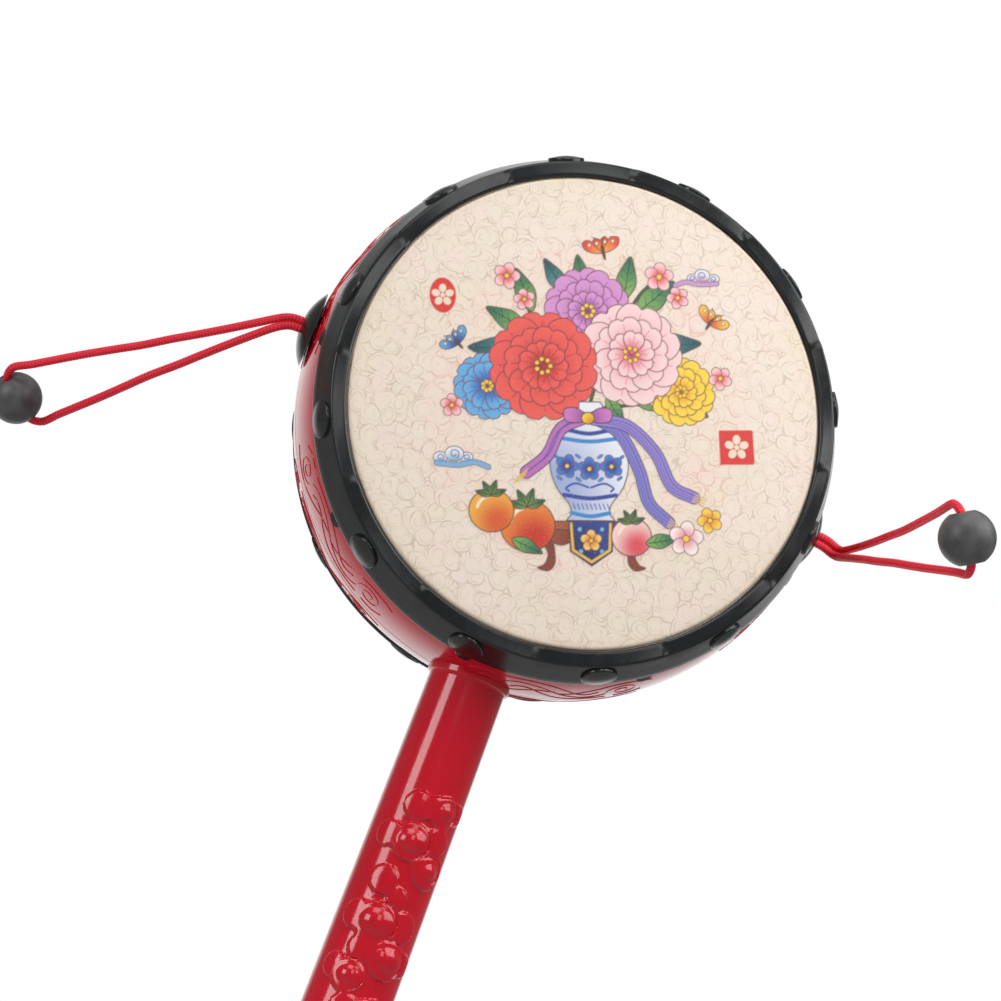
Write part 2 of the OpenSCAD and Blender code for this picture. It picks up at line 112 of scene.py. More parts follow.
# Hoops, studs and tabs
HOOP_R = 48.7
RIDGE_R = 46.5
OPENING_R = 43.6
HOOP_BORE_R = 45.1
HOOP_REAR = 13.5
RIDGE = 21.4
CLAMP = 20.1
FACET_TILT = 7.0
FACET_CREASE = 0.03
FACET_DEPTH = 1.0
FACET_EASE = 0.6
HOOP_ROUND = 0.7
RIDGE_ROUND = 0.4
LIP_ROUND = 0.5
HOOP_SIDES = 720
STUD_COUNT = 12
STUD_R = 3.35
STUD_H = 0.5
STUD_ROOT = 0.6
STUD_RIM_ROUND = 0.3
STUD_DOME_H = 0.4
STUD_LIP = 0.5
STUD_SIDES = 40
STUD_ANGLE = {FRONT: 24.0, BACK: 17.0}
TAB_COUNT = 9
TAB_R = 1.6
TAB_T = 0.6
TAB_ROOT = 0.6
TAB_UNDER = 1.0
TAB_EDGE = 0.2
TAB_TOP_SHARE = 0.88
TAB_ANGLE = 25.0

# Skins
SKIN_R = 43.35
SKIN_T = 0.5
SKIN_EDGE = 21.05
SKIN_CROWN = 0.8
SKIN_ROUND = 0.75
SKIN_FIELD_R = SKIN_R - SKIN_ROUND
SKIN_INSIDE_SHARE = 0.95
SKIN_GAP = 0.05
SKIN_SIDES = 240
RIM_FRONT = 20.05
RIM_BACK = 19.55
RIM_R = 44.8
CLOUD_CELL = 3.8
CLOUD_SHIFTS = [(0.0, 0.0, 0.0), (7.3, 2.9, 0.0), (3.6, 11.2, 0.0)]
PRINT_TURN = 22.0
PRINT_SCALE = 1.2
PRINT_HALF = 27.0
PRINT_STEP = 0.14
PRINT_MARGIN = 0.5
INK_LIFT = 0.03
LEAST_INK = 0.004
INK_LINE_STRENGTH = 0.85
SHADE_START = 1.15
SHADE_FALL = 1.25

# Handle and end cap
HANDLE_L = 150.0
GRIP_R = 8.3
GRIP_L = 42.0
GRIP_ROUND = 0.8
HANDLE_TOP_R = 7.2
HANDLE_SIDES = 224
COLLAR_R = 7.8
COLLAR_H = 0.6
COLLAR_ROUND = 0.2
COLLAR_SUNK = 1.0
COLLAR_COVE = 0.1
COLLAR_COVE_H = 0.35
CAP_R = 7.5
CAP_H = 3.0
CAP_EASE = 2.0
CAP_RIM_T = 0.15
CAP_RIM_EASE = 0.12
PLUG_R = 5.4
PLUG_L = 10.0
TURNED_SIDES = 96

# Relief on the handle. A lobe is its distance below the top, its angle from the front and its radius.
# A bud has its height as well.
RELIEF_TOP = 128.0
RELIEF_PITCH = 38.0
RELIEF_COUNT = 2
RELIEF_ABOVE = 1.0
RELIEF_BELOW = 3.0
RELIEF_ROW = 0.25
RELIEF_SPAN = 70.0
RELIEF_FADE = 10.0
PLATE_H = 0.5
PLATE_PUFF = 0.1
PLATE_EDGE = 0.42
LOBE_NECK = 1.0
LOBE_SPREAD = 1.2
BUD_SPREAD = 1.12
BUD_SEAT = 1.0
CURL_GAP = 0.15
CURL_OPENING = 0.9
CURL_START = 2.2
CURL_SIDE = 0.6
CURL_BIAS = 0.6
GROOVE_W = 0.2
GROOVE_DEPTH = 0.35
GROOVE_SHARE = 0.8
SPOT_SPAN = 1.0
OUT_OF_REACH = 99.0
LOBES = [
    (2.5, 52, 1.8), (3.2, 12, 2), (3.5, -12, 2.3), (8.5, 33, 2.3), (9.8, -38, 2.2), (13.8, 35, 3),
    (18, -20, 2.4), (20.5, 6, 1.8), (25, 27, 2.6), (25.2, -40, 2.4), (30.6, -16, 2.2), (31, 50, 2),
    (34.8, -44, 2.1),
]
BUDS = [
    (3, 29, 1.9, 1.1), (10, -2, 2.5, 1.3), (14, 36, 1.9, 1.1), (25.5, -9, 2.8, 1.3), (31.2, 23, 2.6, 1.3),
    (35.8, -19, 2.1, 1.1),
]

# Eyelets
EYELET_R = 7.25
EYELET_RIM = 0.25
EYELET_HEEL = 0.2
EYELET_HEEL_H = 0.12
EYELET_BACK = 50.1
EYELET_TOP = 52.6
SHANK_R = 3.0
SHANK_END = 45.875
SHANK_FLANGE_R = 4.5
SHANK_FLANGE_T = 1.2
EYELET_BORE_R = 1.85
MOUTH_ROUND = 0.5

# Cords and beads. The route is a strand's distance from the swing hinge and from the loop's middle.
CORD_R = 0.8
CORD_SIDES = 16
CORD_STEP = 0.16
BRAID_STRANDS = 4
BRAID_PITCH = 1.3
BRAID_DEPTH = 0.045
LAY = 0.78
KNOT_X = 43.08
KNOT_R = 3.25
KNOT_POINTS = 121
STRAIGHT_XS = (KNOT_X, 46.5, 50.0, EYELET_TOP)
DROOP_X = 54.65
NECK_L = 1.5
TURN_L = 3.0
TURN_END = 3.2
TURN_LEAD = 0.6
TURN_CUT = 0.2
BEND_L = 27.5
EASE_POINTS = 14
EASE_WIDTH = 0.55
EASE_NEAR = 9.0
EASE_FADE = 8.0
WALL_X = 49.5
WALL_FADE = 2.5
# How far each bend reaches back and ahead of its hinge.
NECK_ZONE = (1.7, 1.0)
TURN_ZONE = (1.0, 2.4)
BEND_ZONE = (6.0, 6.0)
REACH_L = 56.0
BEAD_R = 5.0
BEAD_BORE_R = 0.9
BEAD_SINK_R = 2.2
BEAD_SINK_DEPTH = 1.5
BEAD_LEAD = 6.0
LOOP_ROUTE = [
    (8, 1.3), (15, 1.9), (21, 2.5), (27.5, 3), (33, 3.6), (39, 4.3), (45, 5), (49.5, 5.65),
    (REACH_L - 3.7, BEAD_R + 1.15), (REACH_L - 2.6, BEAD_R + 1.15), (REACH_L - 1.6, BEAD_R + 0.77),
    (REACH_L - 0.75, BEAD_R + 0.06), (REACH_L - 0.2, BEAD_R - 0.9), (REACH_L, BEAD_R - 2), (REACH_L, 1.5),
]
# Droop, swing, and the loop's turn at its bend and at its bead, in degrees.
CORD_POSE = {LEFT: (32.5, 33.3, 0.0, -35.0), RIGHT: (25.3, -82.2, -30.0, -59.0)}

# Camera of the photograph: its place in millimetres and its axes.
CAMERA_PLACE = (-69.58, -517.09, 60.82)
CAMERA_RIGHT = (0.91808, -0.19445, 0.34542)
CAMERA_DOWN = (0.37831, 0.16968, -0.90999)
CAMERA_AHEAD = (0.11834, 0.96612, 0.22935)
CAMERA_LENS = 103.88
SENSOR_W = 36.0
CLIP_START = 0.01

# Studio, in metres. A soft box has its azimuth, elevation, distance, width, height and radiance.
# Azimuth 0 is in front of the drum, and 90 is at its right.
FLOOR_HALF = 4.0
FLOOR_GAP = 0.0005
STUDIO_MIDDLE = (0, 0, 0.15)
SOFT_BOXES = {
    "left_box": (-58, 7, 1.2, 0.48, 0.5, 5.2),
    "top_box": (48, 40, 0.42, 0.38, 0.27, 3.5),
    "front_box": (-3, 26, 1.2, 0.3, 0.54, 2.6),
    "high_box": (-35, 52, 0.8, 0.4, 0.4, 2.6),
}


def smooth_step(value):
    value = np.clip(value, 0.0, 1.0)
    return value * value * (3.0 - 2.0 * value)


def arc(centre, radius, start, stop, steps):
    """Points of an arc in a profile, its angles in degrees from the radius towards the height."""
    angles = np.radians(np.linspace(start, stop, steps + 1))
    return [(centre[0] + radius * math.cos(a), centre[1] + radius * math.sin(a)) for a in angles]


def dome_r(radius, high):
    """Radius of the ball that a dome of this radius and height is cut from."""
    return (radius**2 + high**2) / (2 * high)


def from_pole(radius, ball_r):
    """Angle in degrees from a ball's pole to a circle of this radius on it."""
    return math.degrees(math.asin(radius / ball_r))


def spline(points, steps, closed=False):
    """A smooth line through points."""
    p = np.asarray(points, float)
    if closed:
        a, b, c, d = np.roll(p, 1, 0), p, np.roll(p, -1, 0), np.roll(p, -2, 0)
    else:
        padded = np.vstack([2 * p[0] - p[1], p, 2 * p[-1] - p[-2]])
        a, b, c, d = padded[:-3], padded[1:-2], padded[2:-1], padded[3:]
    t = np.linspace(0, 1, steps, endpoint=False)[None, :, None]
    a, b, c, d = a[:, None], b[:, None], c[:, None], d[:, None]
    line = 0.5 * (2 * b + (c - a) * t + (2 * a - 5 * b + 4 * c - d) * t**2 + (3 * b - a - 3 * c + d) * t**3)
    line = line.reshape(-1, p.shape[1])
    return line if closed else np.vstack([line, p[-1:]])


def along_line(line):
    """Distance of each point from the start of a line."""
    return np.concatenate([[0], np.cumsum(np.linalg.norm(np.diff(line, axis=0), axis=1))])


def even_line(line, step):
    """The same line, with points evenly spaced along it."""
    along = along_line(line)
    places = np.linspace(0, along[-1], max(2, int(round(along[-1] / step)) + 1))
    return np.stack([np.interp(places, along, line[:, k]) for k in range(line.shape[1])], axis=1)


def shell_out(t):
    """Radius of the shell's bulge at a distance from the drum's middle plane."""
    return SHELL_R - BULGE_ARC_R + np.sqrt(BULGE_ARC_R**2 - np.asarray(t, float) ** 2)


def at_face(points, face):
    """From the drum's frame, with z out of a skin and y up, to the part's frame."""
    x, y, z = np.asarray(points, float).T
    return np.stack([face * x, -face * z, DRUM_Z + y], axis=1)


def at_side(points, side):
    """From an eyelet's frame, with z out of the drum's side, to the part's frame."""
    x, y, z = np.asarray(points, float).T
    return np.stack([side * z, y, DRUM_Z - side * x], axis=1)


def face_angle(face, angle):
    """An angle from +X towards +Z, as the drum's frame measures it at that face."""
    return math.radians(angle if face == FRONT else 180 - angle)


class Socket:
    """An output of a node tree. Arithmetic on it adds Math nodes."""

    def __init__(self, nodes, output):
        self.nodes = nodes
        self.output = output

    def __add__(self, other):
        return self.nodes.math("ADD", self, other)

    def __sub__(self, other):
        return self.nodes.math("SUBTRACT", self, other)

    def __rsub__(self, other):
        return self.nodes.math("SUBTRACT", other, self)

    def __mul__(self, other):
        return self.nodes.math("MULTIPLY", self, other)

    def __truediv__(self, other):
        return self.nodes.math("DIVIDE", self, other)

    def __rtruediv__(self, other):
        return self.nodes.math("DIVIDE", other, self)

    def __abs__(self):
        return self.nodes.math("ABSOLUTE", self)

    __radd__ = __add__
    __rmul__ = __mul__


class Nodes:
    """A node tree, with one method that makes any node."""

    def __init__(self, tree):
        self.tree = tree

    def node(self, kind, settings=None, inputs=None):
        """Makes a node, sets it, then fills its sockets. Returns its outputs by name and by number."""
        made = self.tree.nodes.new(kind)
        for key, value in (settings or {}).items():
            setattr(made, key, value)
        for key, value in (inputs or {}).items():
            self.fill(made.inputs[key], value)
        outputs = {output.name: Socket(self, output) for output in made.outputs}
        outputs.update({i: Socket(self, output) for i, output in enumerate(made.outputs)})
        return outputs

    def fill(self, socket, value):
        if isinstance(value, Socket):
            self.tree.links.new(value.output, socket)
        else:
            socket.default_value = value

    def math(self, operation, *values):
        return self.node("ShaderNodeMath", {"operation": operation}, dict(enumerate(values)))[0]

    def vector(self, operation, *values):
        """A vector from Vector Math, or a number where the operation is a length."""
        made = self.node("ShaderNodeVectorMath", {"operation": operation}, dict(enumerate(values)))
        return made["Value" if operation == "LENGTH" else "Vector"]

    def mix(self, share, below, above):
        """A colour, from below to above by a share."""
        return self.node("ShaderNodeMix", {"data_type": "RGBA"}, {0: share, 6: below, 7: above})[2]

    def step(self, value, low, high, out_low=0.0, out_high=1.0):
        """A smooth step of a value between two others."""
        sockets = {"Value": value, "From Min": low, "From Max": high, "To Min": out_low, "To Max": out_high}
        return self.node("ShaderNodeMapRange", {"interpolation_type": "SMOOTHSTEP"}, sockets)[0]

    def noise(self, coords, scale, detail=2.0, roughness=0.5):
        sockets = {"Vector": coords, "Scale": scale, "Detail": detail, "Roughness": roughness}
        return self.node("ShaderNodeTexNoise", {"noise_dimensions": "3D"}, sockets)[0]

    def millimetres(self):
        """A piece's own coordinates in millimetres."""
        return self.vector("MULTIPLY", self.node("ShaderNodeTexCoord")["Object"], (1 / MM, 1 / MM, 1 / MM))

    def apart(self, vector):
        return self.node("ShaderNodeSeparateXYZ", None, {0: vector})

    def bump(self, height, strength, distance):
        sockets = {"Height": height, "Strength": strength, "Distance": distance * MM}
        return self.node("ShaderNodeBump", None, sockets)[0]


def finish_material(name, paint):
    """A material whose surface the paint function sets on its shader's sockets."""
    material = bpy.data.materials.new(name)
    material.use_nodes = True
    nodes = Nodes(material.node_tree)
    shader = material.node_tree.nodes["Principled BSDF"]
    for socket, value in paint(nodes).items():
        nodes.fill(shader.inputs[socket], value)
    return material


def rgb(red, green, blue):
    """A display colour, 0 to 255, as the linear colour that a shader takes."""
    share = np.array([red, green, blue]) / 255
    linear = np.where(share <= 0.04045, share / 12.92, ((share + 0.055) / 1.055) ** 2.4)
    return (*linear.tolist(), 1.0)


def moulded_plastic(deep, light, rough, coat):
    """Glossy moulded plastic: soft flow marks in its colour, faint handling marks in its gloss."""
    def paint(nodes):
        coords = nodes.millimetres()
        flow = nodes.noise(nodes.vector("MULTIPLY", coords, (1.0, 1.0, 0.35)), 0.07, 3.0)
        marks = nodes.noise(nodes.vector("MULTIPLY", coords, (1.0, 1.0, 0.5)), 0.5, 4.0, 0.6)
        dust = nodes.step(nodes.noise(coords, 2.6, 2.0, 0.6), 0.68, 0.78)
        return {
            "Base Color": nodes.mix(nodes.step(flow, 0.3, 0.7), deep, light),
            "Roughness": rough + 0.06 * nodes.step(marks, 0.4, 0.7) + 0.12 * dust,
            "Normal": nodes.bump(nodes.noise(coords, 0.55), 0.06, 0.05),
            "IOR": 1.48,
            "Coat Weight": coat * (1.0 - 0.8 * dust),
            "Coat Roughness": 0.04,
        }
    return paint


def scroll_lines(nodes, flat):
    """Mask of fine cloud-scroll lines: round clouds, each with a curl, in layers that hide those below."""
    sockets = {"Vector": flat, "Scale": 0.25, "Detail": 1.0}
    drift = nodes.node("ShaderNodeTexNoise", {"noise_dimensions": "2D"}, sockets)["Color"]
    warped = nodes.vector("MULTIPLY_ADD", drift, (2.0, 2.0, 0.0), flat)
    lines = 0.0
    for shift in CLOUD_SHIFTS:
        cell = nodes.vector("MULTIPLY_ADD", warped, (1 / CLOUD_CELL, 1 / CLOUD_CELL, 0.0), shift)
        cloud = nodes.node("ShaderNodeTexVoronoi", {"voronoi_dimensions": "2D", "feature": "F1"},
                           {"Vector": cell, "Scale": 1.0, "Randomness": 0.8})
        place = nodes.apart(nodes.vector("SUBTRACT", cell, cloud["Position"]))
        draw = nodes.apart(cloud["Color"])
        away = cloud["Distance"]
        reach = 0.34 + 0.16 * draw[0]
        inside = nodes.step(away - reach, -0.02, 0.02, 1.0, 0.0)
        rim = nodes.step(abs(away - reach), 0.02, 0.055, 1.0, 0.0)
        hand = nodes.step(draw[1], 0.49, 0.51, -1.0, 1.0)
        turn = nodes.math("ARCTAN2", place[1], place[0] * hand) / math.tau + draw[2]
        turn = turn - nodes.math("FLOOR", turn)
        gap = abs(away - reach * (0.25 + 0.5 * turn))
        curl = nodes.step(gap, 0.015, 0.05, 1.0, 0.0) * nodes.step(turn, 0.1, 0.25)
        lines = rim + (1.0 - rim) * (0.6 * inside * curl + (1.0 - inside) * lines)
    return lines


def printed_sheet(inked):
    """Cream printed sheet: cloud-scroll lines, soft mottling, the ink of the picture where it is laid, and
    painted shade towards the rim under the hoop.
    """
    def paint(nodes):
        place = nodes.apart(nodes.millimetres())
        flat = nodes.node("ShaderNodeCombineXYZ", None, {0: place["X"], 1: place["Z"] - DRUM_Z, 2: 0.0})[0]
        mottle = nodes.noise(flat, 0.06, 3.0)
        blush = nodes.noise(flat, 0.13)
        grain = nodes.noise(flat, 2.2, 3.0, 0.6)
        faded = nodes.step(nodes.noise(flat, 0.45), 0.35, 0.65, 0.2, 1.0)
        line = scroll_lines(nodes, flat) * faded
        out = nodes.vector("LENGTH", flat)
        ring = nodes.step(out, 19.0, 21.0) * nodes.step(out, 29.0, 31.0, 1.0, 0.0)
        cream = nodes.mix(nodes.step(mottle, 0.3, 0.7), rgb(243, 228, 215), rgb(240, 227, 205))
        cream = nodes.mix(nodes.step(blush, 0.45, 0.7) * 0.6, cream, rgb(246, 223, 215))
        cream = nodes.mix(ring * 0.22, cream, rgb(247, 220, 204))
        line_colour = nodes.mix(ring * 0.7, rgb(186, 160, 132), rgb(222, 150, 124))
        colour = nodes.mix(line * 0.46, cream, line_colour)
        # Painted shade: the colour darkens towards the skin's rim, where the hoop's lip shades it.
        colour = nodes.mix(nodes.step(out, 40.5, 43.2) * 0.35, colour, rgb(225, 206, 178))
        if inked:
            ink = nodes.node("ShaderNodeAttribute", {"attribute_name": "ink"})
            wear = nodes.step(grain, 0.2, 0.5, 0.86, 0.98)
            colour = nodes.mix(ink["Alpha"] * wear, colour, ink["Color"])
        return {
            "Base Color": colour,
            "Roughness": 0.46 + 0.12 * grain,
            "Normal": nodes.bump(grain + 0.15 * line, 0.16, 0.04),
            "IOR": 1.45,
        }
    return paint


def braided_cord(nodes):
    """Braided cord: crossing strands with painted shade in the gaps between them, and fine fibres along them.
    """
    place = nodes.apart(nodes.node("ShaderNodeUVMap", {"uv_map": "braid"})[0])
    around = place[0] * BRAID_STRANDS
    along = place[1] / BRAID_PITCH
    one_way = nodes.math("SINE", (around + along) * math.tau)
    other_way = nodes.math("SINE", (around - along) * math.tau)
    fibre = nodes.noise(nodes.millimetres(), 6.0, 3.0, 0.6)
    height = 0.5 + 0.5 * (one_way * other_way)
    # Painted shade: the base colour darkens in the gaps between the crossing strands, and varies with the
    # fibres.
    shade = nodes.step(height, 0.02, 0.55, 0.25, 1.0) * nodes.step(fibre, 0.2, 0.8, 0.75, 1.0)
    return {
        "Base Color": nodes.mix(shade, rgb(165, 6, 26), rgb(255, 26, 58)),
        "Roughness": 0.62 - 0.14 * height,
        "Normal": nodes.bump(height + 0.3 * fibre, 0.5, 0.12),
        "Sheen Weight": 0.1,
        "Sheen Roughness": 0.4,
    }


def satin_bead(nodes):
    """Satin turned bead: dark grey with a cloudy tone and fine marks."""
    coords = nodes.millimetres()
    cloudy = nodes.noise(coords, 0.35, 3.0)
    fine = nodes.noise(coords, 3.0, 3.0, 0.6)
    return {
        "Base Color": nodes.mix(nodes.step(cloudy, 0.3, 0.7), rgb(66, 65, 67), rgb(88, 87, 88)),
        "Roughness": 0.36 + 0.16 * fine,
        "Normal": nodes.bump(fine, 0.12, 0.04),
        "IOR": 1.5,
    }


def pale_floor(nodes):
    """Pale paper, lit through from below, that fades into the white backdrop away from the part."""
    coords = nodes.millimetres()
    return {
        "Base Color": nodes.mix(nodes.noise(coords, 0.02), rgb(236, 235, 233), rgb(242, 241, 239)),
        "Roughness": 0.7,
        "Emission Color": (1.0, 1.0, 1.0, 1.0),
        "Emission Strength": 0.35,
        "Alpha": nodes.step(nodes.vector("LENGTH", coords), 250.0, 900.0, 1.0, 0.0),
    }


red_plastic = finish_material("red_plastic", moulded_plastic(rgb(202, 9, 34), rgb(216, 14, 42), 0.12, 0.25))
black_plastic = finish_material("black_plastic", moulded_plastic(rgb(24, 26, 27), rgb(31, 33, 35), 0.18, 0.0))
bare_skin = finish_material("bare_skin", printed_sheet(False))
inked_skin = finish_material("inked_skin", printed_sheet(True))
cord_braid = finish_material("cord_braid", braided_cord)
bead_satin = finish_material("bead_satin", satin_bead)
floor_paper = finish_material("floor_paper", pale_floor)


def smooth_mesh(name, points, faces, edges=()):
    """A smooth mesh from points in millimetres."""
    mesh = bpy.data.meshes.new(name)
    mesh.from_pydata((np.asarray(points, float) * MM).tolist(), list(edges), faces)
    mesh.shade_smooth()
    return mesh


def outward(mesh):
    """Turns a closed mesh's faces outwards, by the sign of its volume, and marks its hard edges."""
    mesh.calc_loop_triangles()
    corners = np.zeros(len(mesh.loop_triangles) * 3, np.int32)
    points = np.zeros(len(mesh.vertices) * 3, np.float32)
    mesh.loop_triangles.foreach_get("vertices", corners)
    mesh.vertices.foreach_get("co", points)
    a, b, c = points.reshape(-1, 3).astype(float)[corners.reshape(-1, 3)].transpose(1, 0, 2)
    if (a * np.cross(b, c)).sum() < 0:
        mesh.flip_normals()
    mesh.set_sharp_from_angle(angle=math.radians(HARD_EDGE))
    return mesh


def add_piece(name, mesh, material, body=None, stands_for=()):
    """Puts a mesh in the scene as a piece that rides on a body and stands for CAD nodes."""
    mesh.materials.clear()
    mesh.materials.append(material)
    piece = bpy.data.objects.new(name, mesh)
    scene.collection.objects.link(piece)
    if body:
        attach(piece, body)
    if stands_for:
        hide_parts(*stands_for)
    return piece


def add_solid(name, points, faces, material, node, body="drum"):
    """A closed piece that stands for one CAD node."""
    return add_piece(name, outward(smooth_mesh(name, points, faces)), material, body, [node])


def band(low, high, count):
    """Faces between two rings of points, from the numbers of their first points."""
    here = np.arange(count)
    after = np.roll(here, -1)
    return np.stack([low + here, low + after, high + after, high + here], axis=1).tolist()


def lathe(profile, turns, shape=None):
    """Points and faces of a profile of (radius, height) turned about z. A profile that starts and ends on the
    axis is closed there, and any other is joined end to end."""
    profile = np.asarray(profile, float)
    poled = profile[0, 0] == 0 and profile[-1, 0] == 0
    rows = profile[1:-1] if poled else profile
    angle = np.arange(turns) * math.tau / turns
    radius = np.repeat(rows[:, :1], turns, axis=1)
    height = np.repeat(rows[:, 1:], turns, axis=1)
    if shape:
        radius, height = shape(radius, height, angle[None, :])
    points = np.stack([radius * np.cos(angle), radius * np.sin(angle), height], axis=2).reshape(-1, 3)
    count = len(rows)
    faces = []
    for i in range(count - 1 if poled else count):
        faces += band(i * turns, (i + 1) % count * turns, turns)
    if poled:
        points = np.vstack([points, [[0, 0, profile[0, 1]], [0, 0, profile[-1, 1]]]])
        last = (count - 1) * turns
        for k in range(turns):
            after = (k + 1) % turns
            faces += [[count * turns, after, k], [count * turns + 1, last + k, last + after]]
    return points, faces


def tube(path):
    """Points, faces and braid coordinates of an open tube of cord, its rings square to its path."""
    ahead = np.gradient(path, axis=0)
    ahead /= np.linalg.norm(ahead, axis=1, keepdims=True)
    across = np.zeros_like(path)
    across[0] = np.cross(ahead[0], [0.0, 1.0, 0.0] if abs(ahead[0][1]) < 0.9 else [1.0, 0.0, 0.0])
    across[0] /= np.linalg.norm(across[0])
    for i in range(1, len(path)):
        across[i] = across[i - 1] - ahead[i] * (across[i - 1] @ ahead[i])
        across[i] /= np.linalg.norm(across[i])
    upward = np.cross(ahead, across)
    along = along_line(path)
    around = np.arange(CORD_SIDES) / CORD_SIDES
    strands = BRAID_STRANDS * around[None, :]
    pitches = along[:, None] / BRAID_PITCH
    crossing = np.sin(math.tau * (strands + pitches)) * np.sin(math.tau * (strands - pitches))
    ring = CORD_R * (1 - BRAID_DEPTH + BRAID_DEPTH * crossing)
    cosine = np.cos(math.tau * around)[None, :, None]
    sine = np.sin(math.tau * around)[None, :, None]
    points = path[:, None] + ring[..., None] * (cosine * across[:, None] + sine * upward[:, None])
    faces = []
    coords = []
    for i in range(len(path) - 1):
        faces += band(i * CORD_SIDES, (i + 1) * CORD_SIDES, CORD_SIDES)
        for share in around:
            after = share + 1 / CORD_SIDES
            coords += [(share, along[i]), (after, along[i]), (after, along[i + 1]), (share, along[i + 1])]
    return points.reshape(-1, 3), faces, coords


def cord_mesh(name, paths):
    """One mesh of several lengths of braided cord, with its braid coordinates."""
    points = []
    faces = []
    coords = []
    for path in paths:
        some_points, some_faces, some_coords = tube(path)
        faces += [[v + len(points) for v in face] for face in some_faces]
        points += some_points.tolist()
        coords += some_coords
    mesh = smooth_mesh(name, points, faces)
    mesh.uv_layers.new(name="braid").data.foreach_set("uv", np.asarray(coords, np.float32).ravel())
    return mesh


class CordFrame:
    """The frames of one side's cord: its droop, swing and bend hinges and the directions along it."""

    def __init__(self, side):
        droop, swing, self.bend_twist, self.bead_twist = (math.radians(a) for a in CORD_POSE[side])
        back = np.array([0.0, 1.0, 0.0])
        self.side = side
        self.out = np.array([side, 0.0, 0.0])
        self.root_ahead = np.array([side * math.cos(droop), 0.0, -math.sin(droop)])
        self.up = np.array([side * math.sin(droop), 0.0, math.cos(droop)])
        self.ahead = math.cos(swing) * self.root_ahead + math.sin(swing) * back
        self.across = math.cos(swing) * back - math.sin(swing) * self.root_ahead
        self.droop_hinge = np.array([side * DROOP_X, 0.0, DRUM_Z])
        self.swing_hinge = self.droop_hinge + TURN_L * self.root_ahead
        self.bend_hinge = self.swing_hinge + BEND_L * self.ahead
        self.bead_middle = self.swing_hinge + REACH_L * self.ahead

    def twist(self, out):
        """Turn of the loop's plane about the cord, at a distance out from the swing hinge."""
        if out < BEND_L:
            return self.bend_twist * out / BEND_L
        share = min(1.0, (out - BEND_L) / (REACH_L - BEAD_LEAD - BEND_L))
        return self.bend_twist + (self.bead_twist - self.bend_twist) * share

    def in_loop(self, turn):
        """Direction across the loop, in its plane, where the plane has this turn."""
        return math.sin(turn) * self.across + math.cos(turn) * self.up

    def half_route(self, half):
        """The route of one strand, from the knot to the middle of the bead."""
        lay = half * LAY
        points = [np.array([self.side * x, 0.0, DRUM_Z + lay]) for x in STRAIGHT_XS]
        points += [self.droop_hinge + lay * (self.up + [0, 0, 1]) / 2]
        points += [self.droop_hinge + NECK_L * self.root_ahead + lay * self.up]
        points += [self.swing_hinge + TURN_LEAD * self.ahead - TURN_CUT * self.root_ahead + lay * self.up]
        for out, off in LOOP_ROUTE:
            points.append(self.swing_hinge + out * self.ahead + half * off * self.in_loop(self.twist(out)))
        return points

    def centreline(self):
        """The cord's whole line: out along the upper strand, through the bead, back along the lower one."""
        route = self.half_route(1) + self.half_route(-1)[::-1]
        return self.eased(even_line(spline(route, 12), CORD_STEP))

    def eased(self, line):
        """The line with its turns at the eyelet eased, as a limp cord bends."""
        reach = 2 * EASE_POINTS
        weights = np.exp(-0.5 * (np.arange(-reach, reach + 1) / (EASE_WIDTH * EASE_POINTS)) ** 2)
        weights /= weights.sum()
        padded = np.vstack([np.repeat(line[:1], reach, 0), line, np.repeat(line[-1:], reach, 0)])
        soft = np.stack([np.convolve(padded[:, k], weights, "valid") for k in range(3)], axis=1)
        from_mouth = np.linalg.norm(line - self.droop_hinge, axis=1)
        near = 1.0 - smooth_step((from_mouth - EASE_NEAR) / EASE_FADE)
        outside = smooth_step((np.abs(line[:, 0]) - WALL_X) / WALL_FADE)
        share = 1.0 - (near * outside)[:, None]
        return even_line(soft + share * (line - soft), CORD_STEP)


def knot_path(side):
    """A closed overhand knot inside the shell."""
    t = np.linspace(0, math.tau, KNOT_POINTS)
    size = (KNOT_R - CORD_R) / 3
    turns = [np.sin(t) + 2 * np.sin(2 * t), np.cos(t) - 2 * np.cos(2 * t), -np.sin(3 * t)]
    return size * np.stack(turns, axis=1) + [side * KNOT_X, 0.0, DRUM_Z]


